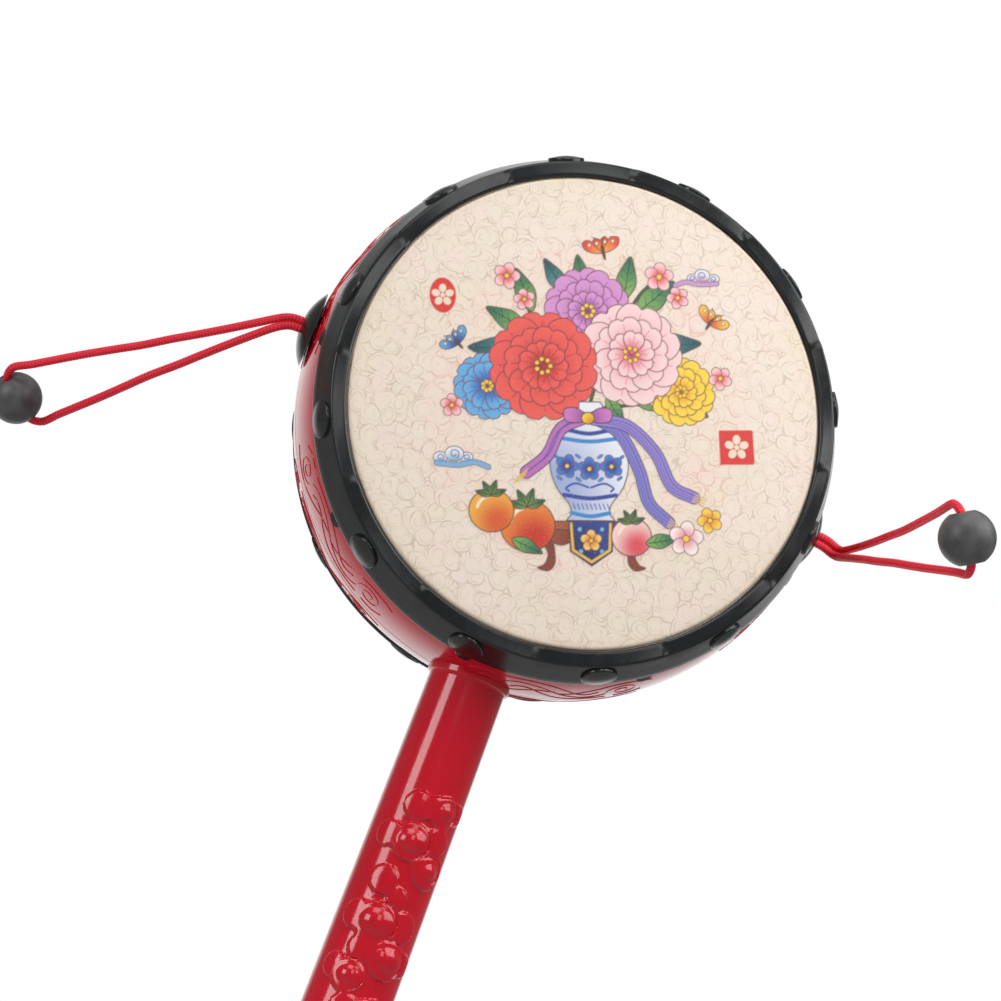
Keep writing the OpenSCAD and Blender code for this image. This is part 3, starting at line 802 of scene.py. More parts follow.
def make_cord(side, bead):
    """One side's cord in three pieces, one for each of its hinges."""
    name = SIDE_NAME[side]
    hinges = CordFrame(side)
    line = hinges.centreline()
    middle = len(line) // 2

    def ends(strand):
        """Where a strand's neck and its turn end, counted from the knot."""
        neck_end = int(np.argmax((strand - hinges.droop_hinge) @ hinges.root_ahead > NECK_L))
        past_turn = (strand[neck_end:] - hinges.swing_hinge) @ hinges.ahead > TURN_END
        return neck_end, neck_end + int(np.argmax(past_turn))

    neck_end, turn_end = ends(line[:middle])
    neck_back, turn_back = (len(line) - 1 - end for end in ends(line[::-1][:middle]))
    loop_line = line[turn_end:turn_back + 1]
    lengths = {
        f"{name}_cord_neck": [line[:neck_end + 1], line[neck_back:], knot_path(side)],
        f"{name}_cord_turn": [line[neck_end:turn_end + 1], line[turn_back:neck_back + 1]],
        f"{name}_cord_loop": [loop_line],
    }
    neck, turn, loop = (add_piece(key, cord_mesh(key, paths), cord_braid) for key, paths in lengths.items())
    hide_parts(f"{name}_cord_knot", f"{name}_cord_root")
    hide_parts(f"{name}_cord_inner", f"{name}_cord_outer")
    bodies = ["drum", f"{name}_cord_root", f"{name}_cord_inner", f"{name}_cord_outer"]
    bends = [
        (neck, hinges.droop_hinge, NECK_ZONE, hinges.out, hinges.root_ahead),
        (turn, hinges.swing_hinge, TURN_ZONE, hinges.root_ahead, hinges.ahead),
        (loop, hinges.bend_hinge, BEND_ZONE, hinges.ahead, hinges.ahead),
    ]
    for (piece, hinge, zone, way_in, way_out), before, after in zip(bends, bodies, bodies[1:]):
        start = hinge - zone[0] * way_in
        end = hinge + zone[1] * way_out
        tuple(start * MM)
        tuple(end * MM)
        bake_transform(piece)


def make_bead(side):
    """A bead with eased mouths, turned about its hole and set on its loop."""
    name = f"{SIDE_NAME[side]}_bead"
    hinges = CordFrame(side)
    mouth = from_pole(BEAD_SINK_R, BEAD_R)
    top = BEAD_R * math.cos(math.radians(mouth))
    ball = arc((0, 0), BEAD_R, -90 + mouth, 90 - mouth, 40)
    throat = []
    for a in np.radians(np.linspace(12, 90, 7)):
        radius = BEAD_BORE_R + (BEAD_SINK_R - BEAD_BORE_R) * (1 - math.sin(a))
        throat.append((radius, top - BEAD_SINK_DEPTH * (1 - math.cos(a))))
    points, faces = lathe(ball + throat + [(r, -z) for r, z in throat[::-1]], TURNED_SIDES)
    hole = hinges.in_loop(hinges.bead_twist)
    placed = hinges.bead_middle + points @ np.stack([hinges.ahead, np.cross(hole, hinges.ahead), hole])
    return add_solid(f"{name}_turned", placed, faces, bead_satin, name, name)


for side in (LEFT, RIGHT):
    make_cord(side, make_bead(side))


def copies_tree(name, of_lines):
    """A tree that sets copies of a shape round the drum's axis. A shape of lines first gets a body."""
    tree = bpy.data.node_groups.new(name, "GeometryNodeTree")
    for label, kind in (("Geometry", "Geometry"), ("Count", "Int"), ("First angle", "Float"),
                        ("Line radius", "Float"), ("Material", "Material")):
        tree.interface.new_socket(label, in_out="INPUT", socket_type=f"NodeSocket{kind}")
    tree.interface.new_socket("Geometry", in_out="OUTPUT", socket_type="NodeSocketGeometry")
    nodes = Nodes(tree)
    given = nodes.node("NodeGroupInput")
    shape = given["Geometry"]
    if of_lines:
        line = nodes.node("GeometryNodeMeshToCurve", None, {"Mesh": shape})["Curve"]
        outline = nodes.node("GeometryNodeCurvePrimitiveCircle", None,
                             {"Resolution": 8, "Radius": given["Line radius"]})["Curve"]
        shape = nodes.node("GeometryNodeCurveToMesh", None,
                           {"Curve": line, "Profile Curve": outline, "Fill Caps": True})["Mesh"]
    spots = nodes.node("GeometryNodePoints", None, {"Count": given["Count"]})[0]
    angle = nodes.node("GeometryNodeInputIndex")["Index"] * (math.tau / given["Count"]) + given["First angle"]
    turn = nodes.node("ShaderNodeCombineXYZ", None, {"Z": angle})[0]
    ring = nodes.node("GeometryNodeInstanceOnPoints", None,
                      {"Points": spots, "Instance": shape, "Rotation": turn})[0]
    whole = nodes.node("GeometryNodeRealizeInstances", None, {"Geometry": ring})[0]
    finished = nodes.node("GeometryNodeSetMaterial", None,
                          {"Geometry": whole, "Material": given["Material"]})[0]
    nodes.node("NodeGroupOutput", None, {"Geometry": finished})
    return tree


shape_copies = copies_tree("shape_copies", False)
line_copies = copies_tree("line_copies", True)


def add_ring(name, mesh, tree, face, **inputs):
    """Runs a copies tree on a mesh in the drum's frame, and adds its plain mesh to the drum as one piece."""
    carrier = bpy.data.objects.new(name, mesh)
    scene.collection.objects.link(carrier)
    modifier = carrier.modifiers.new("copies", "NODES")
    modifier.node_group = tree
    for item in tree.interface.items_tree:
        key = item.name.lower().replace(" ", "_")
        if item.in_out == "INPUT" and key in inputs:
            modifier[item.identifier] = inputs[key]
    made = bpy.data.meshes.new_from_object(carrier.evaluated_get(bpy.context.evaluated_depsgraph_get()))
    carrier.modifiers.remove(modifier)
    bpy.data.objects.remove(carrier)
    made.transform(Matrix([[face, 0, 0, 0], [0, 0, -face, 0], [0, 1, 0, DRUM_Z * MM], [0, 0, 0, 1]]))
    made.shade_smooth()
    add_piece(name, outward(made), inputs["material"], "drum")


def make_barrel(face):
    """Half of the shell: its bulge, shoulder, neck and bearing edge, with a ring of raised scrolls."""
    name = f"barrel_{FACE_NAME[face]}"
    seam = arc((shell_out(SEAM) - SEAM_ROUND, SEAM + SEAM_ROUND), SEAM_ROUND, -90, -10, 4)
    bulge = [(shell_out(t), t) for t in np.linspace(SEAM + SEAM_ROUND, HALF_W - EDGE_ROUND, 30)]
    edge = arc((EDGE_R - EDGE_ROUND, HALF_W - EDGE_ROUND), EDGE_ROUND, 5, 90, 4)
    neck = [(NECK_R, HALF_W), (NECK_R, NECK_END), (BEARING_R, NECK_END)]
    bearing = [(BEARING_R, BEARING_END - BEARING_EASE), (BEARING_R - BEARING_EASE, BEARING_END)]
    inside = [(NECK_BORE_R, BEARING_END), (NECK_BORE_R, NECK_BORE_END), (shell_out(TAPER) - SHELL_T, TAPER),
              (SHELL_R - SHELL_T, SEAM)]
    points, faces = lathe(seam + bulge + edge + neck + bearing + inside, SHELL_SIDES)
    add_solid(f"{name}_shell", at_face(points, face), faces, red_plastic, name)
    points = []
    edges = []
    for line in scroll_panel():
        edges += [(i, i + 1) for i in range(len(points), len(points) + len(line) - 1)]
        points += on_shell(line).tolist()
    add_ring(f"{name}_scrolls", smooth_mesh(f"{name}_scrolls", points, [], edges), line_copies, face,
             count=PANEL_COUNT, first_angle=face_angle(face, PANEL_ANGLE), line_radius=SCROLL_LINE_R * MM,
             material=red_plastic)


def scroll_panel():
    """The lines of one cloud-scroll panel, as (distance round the shell, distance from its middle plane)."""
    turns = np.radians(np.linspace(0, SCROLL_TURN, 48))
    radius = SCROLL_R - (SCROLL_R - SCROLL_EYE_R) * turns / turns[-1]
    curl = np.stack([radius * np.cos(turns), radius * np.sin(turns)], axis=1)[::-1]
    near = curl * [1, -1] + [-SCROLL_APART / 2, SCROLL_OFF]
    far = curl * [-1, 1] + [SCROLL_APART / 2, SCROLL_OFF]
    sweep = spline([near[-1], *SWEEP, far[-1]], 5)
    return [np.vstack([near, sweep[1:-1], far[::-1]])] + [spline(trail, 6) for trail in TRAILS]


def on_shell(line):
    """A flat line laid on the shell's bulge, half sunk."""
    around = line[:, 0] / SHELL_R
    radius = shell_out(line[:, 1])
    return np.stack([radius * np.cos(around), radius * np.sin(around), line[:, 1]], axis=1)


def make_hoop(face):
    """A hoop: a ring whose front face turns outward between its studs, with its studs and tabs."""
    name = f"{FACE_NAME[face]}_hoop"
    slope = math.degrees(math.atan((HOOP_R - RIDGE_R) / (RIDGE - HOOP_REAR)))
    front_middle = (RIDGE_R + OPENING_R) / 2
    lean = math.tan(math.radians(FACET_TILT))
    level = RIDGE - lean * (RIDGE_R - front_middle)
    first_stud = face_angle(face, STUD_ANGLE[face])
    heel = arc((HOOP_R - HOOP_ROUND, HOOP_REAR + HOOP_ROUND), HOOP_ROUND, -90, slope, 6)
    corner = arc((RIDGE_R - RIDGE_ROUND, level - RIDGE_ROUND), RIDGE_ROUND, slope, 90, 6)
    side = np.linspace(heel[-1], corner[0], 6)[1:-1].tolist()
    across = [(r, level) for r in np.linspace(RIDGE_R - RIDGE_ROUND, OPENING_R + LIP_ROUND, 8)[1:-1]]
    lip = arc((OPENING_R + LIP_ROUND, level - LIP_ROUND), LIP_ROUND, 90, 180, 6)
    clamp = [(OPENING_R, CLAMP), (HOOP_BORE_R, CLAMP)]

    def facets(radius, height, angle):
        """Twists the front face: it leans in after each crease between studs, and out before the next."""
        share = 0.5 - ((angle - first_stud) * STUD_COUNT / math.tau + 0.5) % 1.0
        in_crease = np.clip((0.5 - np.abs(share)) / FACET_CREASE, 0, 1)
        twist = np.clip(share / (0.5 - FACET_CREASE), -1, 1) * in_crease
        on_front = smooth_step((height - level + FACET_DEPTH) / FACET_EASE)
        return radius, height - on_front * twist * lean * (radius - front_middle)

    profile = [(HOOP_BORE_R, HOOP_REAR)] + heel + side + corner + across + lip + clamp
    points, faces = lathe(profile, HOOP_SIDES, facets)
    add_solid(f"{name}_ring", at_face(points, face), faces, black_plastic, name)

    top_r = STUD_R - STUD_LIP
    ball_r = dome_r(top_r, STUD_DOME_H)
    top = STUD_H + STUD_DOME_H
    rim = arc((STUD_R - STUD_RIM_ROUND, STUD_H - STUD_RIM_ROUND), STUD_RIM_ROUND, 0, 75, 4)
    dome = arc((0, top - ball_r), ball_r, 90 - from_pole(top_r, ball_r), 90, 8)[:-1]
    points, faces = lathe([(0, -STUD_ROOT), (STUD_R, -STUD_ROOT)] + rim + dome + [(0, top)], STUD_SIDES)
    tilt = np.array(Matrix.Rotation(math.radians(90 - slope), 3, "Y"))
    placed = points @ tilt.T + [(HOOP_R + RIDGE_R) / 2, 0, (HOOP_REAR + RIDGE) / 2]
    add_ring(f"{name}_studs", smooth_mesh(f"{name}_stud", placed, faces), shape_copies, face,
             count=STUD_COUNT, first_angle=first_stud, material=black_plastic)
    add_ring(f"{name}_tabs", tab_mesh(f"{name}_tab"), shape_copies, face, count=TAB_COUNT,
             first_angle=face_angle(face, TAB_ANGLE), material=black_plastic)


def tab_mesh(name):
    """One rounded tab of a hoop's rear edge, lying on the shell."""
    outline = [(TAB_R * math.cos(a), -TAB_R * math.sin(a)) for a in np.linspace(math.pi, 0, 13)]
    outline = np.array([(-TAB_R, TAB_UNDER)] + outline + [(TAB_R, TAB_UNDER)])
    points = []
    for lift, share in ((0.0, 1.0), (TAB_T - TAB_EDGE, 1.0), (TAB_T, TAB_TOP_SHARE)):
        for around, back in outline * share:
            sunk = TAB_ROOT if back > 0 else 0.0
            radius = shell_out(min(HOOP_REAR + back, HALF_W)) + FIT + lift - sunk
            angle = around / EDGE_R
            points.append((radius * math.cos(angle), radius * math.sin(angle), HOOP_REAR + back))
    count = len(outline)
    ends = [list(range(count))[::-1], list(range(2 * count, 3 * count))]
    return smooth_mesh(name, points, ends + band(0, count, count) + band(count, 2 * count, count))


def crown(radius):
    """Height of a skin's outside at a distance from its middle."""
    return SKIN_EDGE + SKIN_CROWN * (1 - (np.asarray(radius, float) / SKIN_FIELD_R) ** 2)


# Inks that several shapes of the picture share.
LINE_INK = (88, 58, 52)
COBALT = (44, 70, 158)
SKY_BLUE = (60, 140, 206)
PLUM = (122, 52, 70)
POLLEN = (250, 206, 60)
PAPER = (240, 224, 202)
LEAF_GREENS = ((38, 112, 82), (126, 176, 92))
TEAL_GREENS = ((30, 84, 96), (72, 150, 150))
CALYX_GREENS = ((46, 104, 62), (120, 160, 74))


class Print:
    """Ink laid on a fine grid over the middle of a skin. Shapes are given in millimetres, with y up."""

    def __init__(self, half, step):
        axis = np.arange(-half, half + step / 2, step)
        self.x, self.y = np.meshgrid(axis, axis)
        self.step = step
        self.half = half
        self.ink = np.zeros((*self.x.shape, 3))
        self.cover = np.zeros(self.x.shape)

    def window(self, line, margin):
        """The part of the grid round a line."""
        low = np.clip(((line.min(0) - margin + self.half) / self.step).astype(int), 0, len(self.x) - 1)
        high = np.clip(((line.max(0) + margin + self.half) / self.step).astype(int) + 2, 1, len(self.x))
        return np.s_[low[1]:high[1], low[0]:high[0]]

    def from_line(self, line, window):
        """Distance of the window's points from a line, and whether they lie inside it when it is closed."""
        x, y = self.x[window], self.y[window]
        best = np.full(x.shape, 1e9)
        inside = np.zeros(x.shape, bool)
        for (ax, ay), (bx, by) in zip(line, line[1:]):
            dx, dy = bx - ax, by - ay
            share = np.clip(((x - ax) * dx + (y - ay) * dy) / max(dx * dx + dy * dy, 1e-9), 0, 1)
            best = np.minimum(best, (x - ax - share * dx) ** 2 + (y - ay - share * dy) ** 2)
            if ay != by:
                inside ^= ((ay > y) != (by > y)) & (x < ax + (y - ay) * dx / dy)
        return np.sqrt(best), inside

    def lay(self, window, depth, tone, strength=1.0):
        """Lays a tone where the depth inside a shape is above 0, with a soft edge one grid step wide."""
        share = np.clip(0.5 + depth / self.step, 0, 1) * strength
        self.ink[window] = self.ink[window] * (1 - share[..., None]) + share[..., None] * tone
        self.cover[window] = self.cover[window] * (1 - share) + share

    def fill(self, outline, colour, shade=None, towards=None, line=0.2, line_colour=LINE_INK):
        """A closed shape in one colour, or grading to a shade towards a point, with an ink line round it."""
        outline = np.vstack([outline, outline[:1]])
        window = self.window(outline, PRINT_MARGIN)
        far, inside = self.from_line(outline, window)
        tone = np.broadcast_to(ink_tone(colour), (*far.shape, 3))
        if shade:
            span = np.hypot(*(outline - towards).T).max()
            away = np.hypot(self.x[window] - towards[0], self.y[window] - towards[1]) / span
            tone = tone + smooth_step(SHADE_START - SHADE_FALL * away)[..., None] * (ink_tone(shade) - tone)
        self.lay(window, np.where(inside, far, -far), tone)
        if line:
            self.lay(window, line / 2 - far, ink_tone(line_colour), INK_LINE_STRENGTH)

    def stroke(self, line, width, colour, edge=0.0, edge_colour=(70, 60, 110)):
        """An open line of ink, with a darker edge if it has one."""
        window = self.window(line, width / 2 + edge + PRINT_MARGIN)
        far, _ = self.from_line(line, window)
        if edge:
            self.lay(window, width / 2 + edge - far, ink_tone(edge_colour))
        self.lay(window, width / 2 - far, ink_tone(colour))


def ink_tone(colour):
    return np.array(rgb(*colour)[:3])


def turned(points, centre, angle, size=1.0):
    """Points turned about the origin by degrees, scaled, and moved to a centre."""
    a = math.radians(angle)
    spin = np.array([[math.cos(a), math.sin(a)], [-math.sin(a), math.cos(a)]])
    return np.asarray(points, float) * size @ spin + centre


def oval(centre, wide, high, angle=0.0):
    t = np.linspace(0, math.tau, 40, endpoint=False)
    return turned(np.stack([wide * np.cos(t), high * np.sin(t)], axis=1), centre, angle)


def spots_round(centre, radius, count, turn=0.0):
    """Spots evenly round a centre, each with its angle in degrees."""
    for k in range(count):
        angle = turn + 360 * k / count
        a = math.radians(angle)
        yield angle, centre + radius * np.array([math.cos(a), math.sin(a)])


PETAL_SHAPE = [(0, 0), (-0.3, 0.3), (-0.46, 0.66), (-0.34, 0.94), (-0.12, 1.0), (0, 0.93), (0.12, 1.0),
               (0.34, 0.94), (0.46, 0.66), (0.3, 0.3)]
LEAF_SHAPE = [(0, 0), (-0.16, 0.2), (-0.22, 0.45), (-0.13, 0.75), (0, 1.0), (0.13, 0.75), (0.22, 0.45),
              (0.16, 0.2)]
WING_SHAPE = [(0, 0), (0.3, 0.5), (0.8, 0.95), (1.2, 0.8), (1.1, 0.35), (0.6, 0.05)]
WING_SPOT = (0.78, 0.62)


def leaf(picture, base, angle, length, greens=LEAF_GREENS):
    """A pointed leaf with its veins."""
    picture.fill(spline(turned(LEAF_SHAPE, base, angle, length), 6, True), *greens, base)
    vein = turned([(0, 0.08), (0.01, 0.5), (0, 0.9)], base, angle, length)
    picture.stroke(spline(vein, 5), 0.16, (24, 72, 62))
    for up in (0.25, 0.42, 0.58):
        for flip in (-1, 1):
            side_vein = turned([(0, up), (0.13 * flip, up + 0.12)], base, angle, length)
            picture.stroke(side_vein, 0.1, (34, 92, 70))


def bloom(picture, centre, radius, pale, deep, rings=3, turn=0.0):
    """A full round flower: rings of notched petals, each ring smaller and turned from the one below."""
    for ring in range(rings):
        size = radius * (1 - 0.27 * ring)
        count = 8 - ring
        for k in range(count):
            angle = turn + 360 * (k + 0.5 * (ring % 2)) / count + 9 * ring
            petal = spline(turned(PETAL_SHAPE, centre, angle, size), 5, True)
            picture.fill(petal, pale, deep, centre, 0.17, PLUM)
            for lean in (-0.2, 0, 0.2):
                vein = turned([(lean * 0.5, 0.45), (lean * 1.1, 0.84 - abs(lean))], centre, angle, size)
                picture.stroke(vein, 0.1, deep)
    for _, spot in spots_round(centre, radius * 0.13, 7):
        picture.fill(oval(spot, 0.36, 0.36), POLLEN, line=0.12)


def blossom(picture, centre, radius, colour, shade, turn=0.0):
    """A small flower of five round petals."""
    for angle, spot in spots_round(centre, radius * 0.56, 5, turn):
        petal = oval(spot, radius * 0.48, radius * 0.42, angle)
        picture.fill(petal, colour, shade, centre, 0.14, (130, 62, 70))
    picture.fill(oval(centre, radius * 0.2, radius * 0.2), (248, 208, 70), line=0.12)


def butterfly(picture, centre, size, turn, colour, shade):
    """A butterfly with four spotted wings."""
    for flip in (-1, 1):
        for tilt, share in ((0, 1.0), (75, 0.72)):
            *wing, spot = turned(np.array([*WING_SHAPE, WING_SPOT]) * [flip, 1], centre, turn + tilt * flip,
                                 size * share)
            picture.fill(spline(wing, 6, True), colour, shade, centre, 0.16)
            picture.fill(oval(spot, size * 0.11, size * 0.11), (252, 236, 200), line=0.1)
        feeler = turned([(0, 0.2), (0.15 * flip, 0.8), (0.45 * flip, 1.1)], centre, turn, size)
        picture.stroke(spline(feeler, 5), 0.14, (80, 52, 46))
    picture.fill(oval(centre, size * 0.1, size * 0.5, turn), (96, 58, 46), line=0.1)


def fruit(picture, centre, radius, colour, shade):
    """A round fruit with a small green calyx."""
    ripe = np.add(centre, (radius * 0.3, -radius * 0.5))
    picture.fill(oval(centre, radius * 1.06, radius), colour, shade, ripe)
    glint = np.array(arc(centre, radius * 0.68, 105, 165, 8))
    picture.stroke(glint, radius * 0.14, (253, 232, 206))
    for angle in (-70, -20, 30, 75):
        leaf(picture, np.add(centre, (0, radius * 0.72)), angle, radius * 0.75, CALYX_GREENS)


def vase(picture):
    """A blue and white vase."""
    half = spline([(1.9, 1.2), (2.3, 0.4), (1.7, -1.0), (2.2, -2.6), (4.6, -4.6), (6.0, -8.0), (5.2, -11.6),
                   (3.2, -14.4), (3.0, -15.8), (3.7, -16.8)], 6)
    picture.fill(np.vstack([half, half[::-1] * [-1, 1]]), (238, 240, 246), (160, 176, 220), (-6.5, -12.0))
    for y, tone in ((-3.4, COBALT), (-4.6, SKY_BLUE), (-13.2, COBALT), (-15.9, SKY_BLUE)):
        reach = np.interp(-y, -half[:, 1], half[:, 0]) - 0.15
        picture.stroke(spline([(-reach, y + 0.25), (0, y - 0.25), (reach, y + 0.25)], 8), 0.62, tone)
    for k, spot in enumerate([(-3.4, -8.6), (0, -9.0), (3.4, -8.6)]):
        blossom(picture, spot, 1.75, (60, 128, 208), (36, 52, 140), 18 * k)
    for flip in (-1, 1):
        curl = np.array([(0.2, -11.8), (2.2, -11.2), (3.6, -11.9), (3.2, -12.4)]) * [flip, 1]
        picture.stroke(spline(curl, 6), 0.3, COBALT)
        for x, y in ((1.7, -7.1), (5.0, -7.2), (1.7, -10.6), (4.6, -10.4)):
            picture.fill(oval((x * flip, y), 0.5, 0.22, 35 * flip), SKY_BLUE, line=0.08)
    for x in np.arange(-2.6, 2.7, 0.65):
        picture.stroke(np.array([(x, -14.3), (x + 0.3, -15.1)]), 0.16, COBALT)


def sash(picture):
    """A violet sash tied round the vase, with long fringed tails."""
    tails = [
        ((132, 128, 204), [(1.0, -1.2), (4.8, -3.6), (7.6, -9.0), (9.0, -14.0), (12.0, -17.0)]),
        ((150, 132, 208), [(0.8, -1.4), (6.0, -2.4), (10.2, -6.4), (12.6, -11.4), (16.0, -13.2)]),
        ((190, 112, 186), [(-0.8, -1.3), (-4.2, -3.0), (-6.4, -7.0), (-9.6, -9.6)]),
    ]
    for tone, tail in tails:
        line = spline(tail, 10)
        picture.stroke(line, 1.7, tone, 0.16)
        for off, width in ((0.3, 0.16), (-0.1, 0.1), (-0.42, 0.12)):
            picture.stroke(line + [off, 0.8 * off], width, (92, 84, 166))
        for off in (-0.5, -0.17, 0.17, 0.5):
            end = line[-1] + [off * 0.6, off]
            picture.stroke(np.array([end, end + (line[-1] - line[-4]) * 1.6]), 0.16, (232, 190, 60))
    for flip in (-1, 1):
        bow = np.array([(0, -1.3), (1.6, 0.2), (3.6, 0.0), (3.4, -1.7), (1.4, -2.0)]) * [flip, 1]
        picture.fill(spline(bow, 6, True), (205, 124, 192), (160, 82, 168), (0, -1.3))
    picture.fill(oval((0, -1.3), 1.0, 0.9), (244, 204, 52), (222, 150, 40), (0.6, -2.0))


def stand(picture):
    """A low dark stand under the vase, with a blue cloth hung over its front."""
    leg = np.array([(5.4, -18.2), (7.2, -18.2), (7.4, -20.0), (6.6, -21.8), (7.2, -23.4), (8.2, -23.9),
                    (6.6, -24.3), (5.6, -23.2), (5.6, -21.2), (5.8, -19.8)])
    for flip in (-1, 1):
        picture.fill(spline(leg * [flip, 1], 5, True), (142, 66, 48), (92, 36, 34), (0, -18.0))
    apron = [(-6.4, -17.8), (6.4, -17.8), (6.2, -19.8), (4.4, -20.5), (2.2, -19.7), (0, -20.4), (-2.2, -19.7),
             (-4.4, -20.5), (-6.2, -19.8)]
    picture.fill(spline(apron, 5, True), (160, 78, 54), (104, 44, 38), (0, -21.0))
    slab = [(-8.0, -16.9), (8.0, -16.9), (8.2, -17.5), (7.8, -18.2), (-7.8, -18.2), (-8.2, -17.5)]
    picture.fill(slab, (176, 92, 60), (120, 52, 40), (6.0, -18.5))
    cloth = [(-3.4, -16.9), (3.4, -16.9), (3.2, -21.4), (0, -23.6), (-3.2, -21.4)]
    picture.fill(cloth, (46, 72, 150), (30, 44, 104), (-3.0, -22.0))
    hem = np.array([(-3.0, -17.3), (-2.8, -21.2), (0, -23.0), (2.8, -21.2), (3.0, -17.3)])
    picture.stroke(hem, 0.4, (240, 190, 62))
    blossom(picture, (0, -19.8), 1.6, (248, 214, 110), (226, 120, 50), 18)
    for spot in ((-1.7, -18.1), (1.7, -18.1), (-1.6, -21.4), (1.6, -21.4)):
        picture.fill(oval(spot, 0.34, 0.34), (116, 186, 216), line=0.08)


def cloud(picture, centre, size, flip, colour):
    """A drifting cloud: three puffs over a curled tail."""
    turns = np.linspace(0, 1, 26)
    coil = np.radians(-60 + 390 * turns)
    for x, y, radius in ((-1.5, 0.1, 0.75), (1.3, 0.1, 0.7), (0, 0.5, 1.0)):
        spot = centre + np.array([x * flip, y]) * size
        puff = oval(spot, radius * size, radius * size * 0.8)
        picture.fill(puff, (240, 240, 240), colour, spot - [0, size], 0.14)
        ring = radius * size * 0.55 * (1 - 0.6 * turns)
        curl = spot + np.stack([flip * ring * np.cos(coil), ring * np.sin(coil)], axis=1)
        picture.stroke(curl, 0.16, (70, 110, 170))
    tail = centre + np.array([(-1.9, -0.5), (0.4, -0.7), (2.2, -0.4), (3.6, -0.9)]) * [flip * size, size]
    picture.stroke(spline(tail, 6), 0.5 * size, colour, 0.1, (70, 90, 140))


def medallion(picture, centre, radius, square):
    """A small red stamp of one plain blossom."""
    shape = oval((0, 0), radius * 0.74, radius)
    if square:
        corners = 0.9 * radius * np.array([(-1, -1), (1, -0.95), (0.97, 1), (-1.02, 0.96), (-1, -1)])
        shape = even_line(corners, 0.4)[:-1]
    picture.fill(shape + centre, (222, 52, 46), line=0.0)
    for angle, spot in spots_round(centre, radius * 0.4, 5, 90):
        picture.fill(oval(spot, radius * 0.24, radius * 0.2, angle), PAPER, line=0.0)
    picture.fill(oval(centre, radius * 0.13, radius * 0.13), PAPER, line=0.0)


def flower_picture():
    """The picture on a skin: a vase of garden flowers with fruit, butterflies and sprigs about it."""
    picture = Print(PRINT_HALF, PRINT_STEP)
    for stem in ([(0, 0), (-4, 6), (-9, 16), (-11.5, 20)], [(0, 0), (3, 8), (8, 17), (11.5, 20.5)],
                 [(0, 0), (-8, 2), (-15, 3), (-20, 0.5)], [(0, 0), (8, 1), (15, 2), (20.5, 5)]):
        picture.stroke(spline(stem, 10), 0.4, (70, 92, 58), 0.08, (52, 58, 40))
    for base, angle, length in (((-6, 1), 70, 11), ((-5, 3), 100, 10), ((6, 2), -75, 12), ((6, 3), -105, 9),
                                ((-9, 12), 60, 7), ((-8, 15), 20, 7), ((8, 15), -50, 8), ((6, 17), -12, 7),
                                ((-13, 4), 125, 7), ((14, 3), -130, 6), ((0, 18), 8, 6), ((-2, 3), 150, 5),
                                ((3, 2), -150, 5)):
        leaf(picture, base, angle, length)
    for base, angle, length in (((-10, 9), 88, 8), ((10, 10), -86, 8), ((-3, 18), 30, 6)):
        leaf(picture, base, angle, length, TEAL_GREENS)
    bloom(picture, (0.5, 15.2), 6.6, (216, 150, 208), (150, 70, 156), 3, 10)
    bloom(picture, (-15.2, 3.4), 5.0, (104, 176, 226), (38, 84, 178), 2, 25)
    bloom(picture, (14.6, 3.0), 5.2, (252, 216, 72), (236, 150, 34), 3, 5)
    stand(picture)
    vase(picture)
    bloom(picture, (7.0, 8.6), 7.8, (250, 214, 214), (226, 96, 128), 3, 30)
    bloom(picture, (-6.6, 6.6), 8.2, (238, 92, 84), (186, 24, 40), 3, 0)
    sash(picture)
    for spot, size, turn in (((-11.8, 20.4), 2.0, 0), ((-9.2, 16.8), 1.6, 30), ((11.8, 20.8), 2.2, 12),
                             ((14.6, 17.6), 1.7, 40), ((-20.6, 0.4), 1.7, 20), ((20.8, 5.2), 1.8, 50)):
        blossom(picture, spot, size, (252, 206, 206), (232, 84, 96), turn)
    butterfly(picture, (3.2, 24.4), 2.4, 12, (226, 66, 56), (246, 150, 64))
    butterfly(picture, (19.4, 13.6), 2.2, -35, (248, 190, 70), (226, 96, 44))
    butterfly(picture, (-19.4, 9.8), 2.0, 40, (96, 170, 220), (44, 76, 160))
    fruit(picture, (-9.6, -17.6), 3.9, (240, 136, 52), (206, 50, 36))
    fruit(picture, (-15.0, -15.4), 3.2, (246, 176, 66), (222, 92, 40))
    fruit(picture, (6.2, -19.2), 2.9, (250, 214, 206), (226, 80, 96))
    leaf(picture, (-12.0, -19.6), -115, 5)
    leaf(picture, (8.4, -20.2), -80, 5)
    blossom(picture, (14.6, -19.4), 2.6, (252, 238, 236), (236, 150, 160), 10)
    blossom(picture, (18.4, -16.6), 1.9, (252, 214, 82), (236, 150, 40), 40)
    cloud(picture, (-20.4, -7.6), 1.4, 1, (130, 180, 216))
    cloud(picture, (18.6, 20.6), 1.2, -1, (206, 150, 196))
    medallion(picture, (-21.6, 17.2), 2.7, False)
    medallion(picture, (23.0, -5.4), 3.0, True)
    return picture


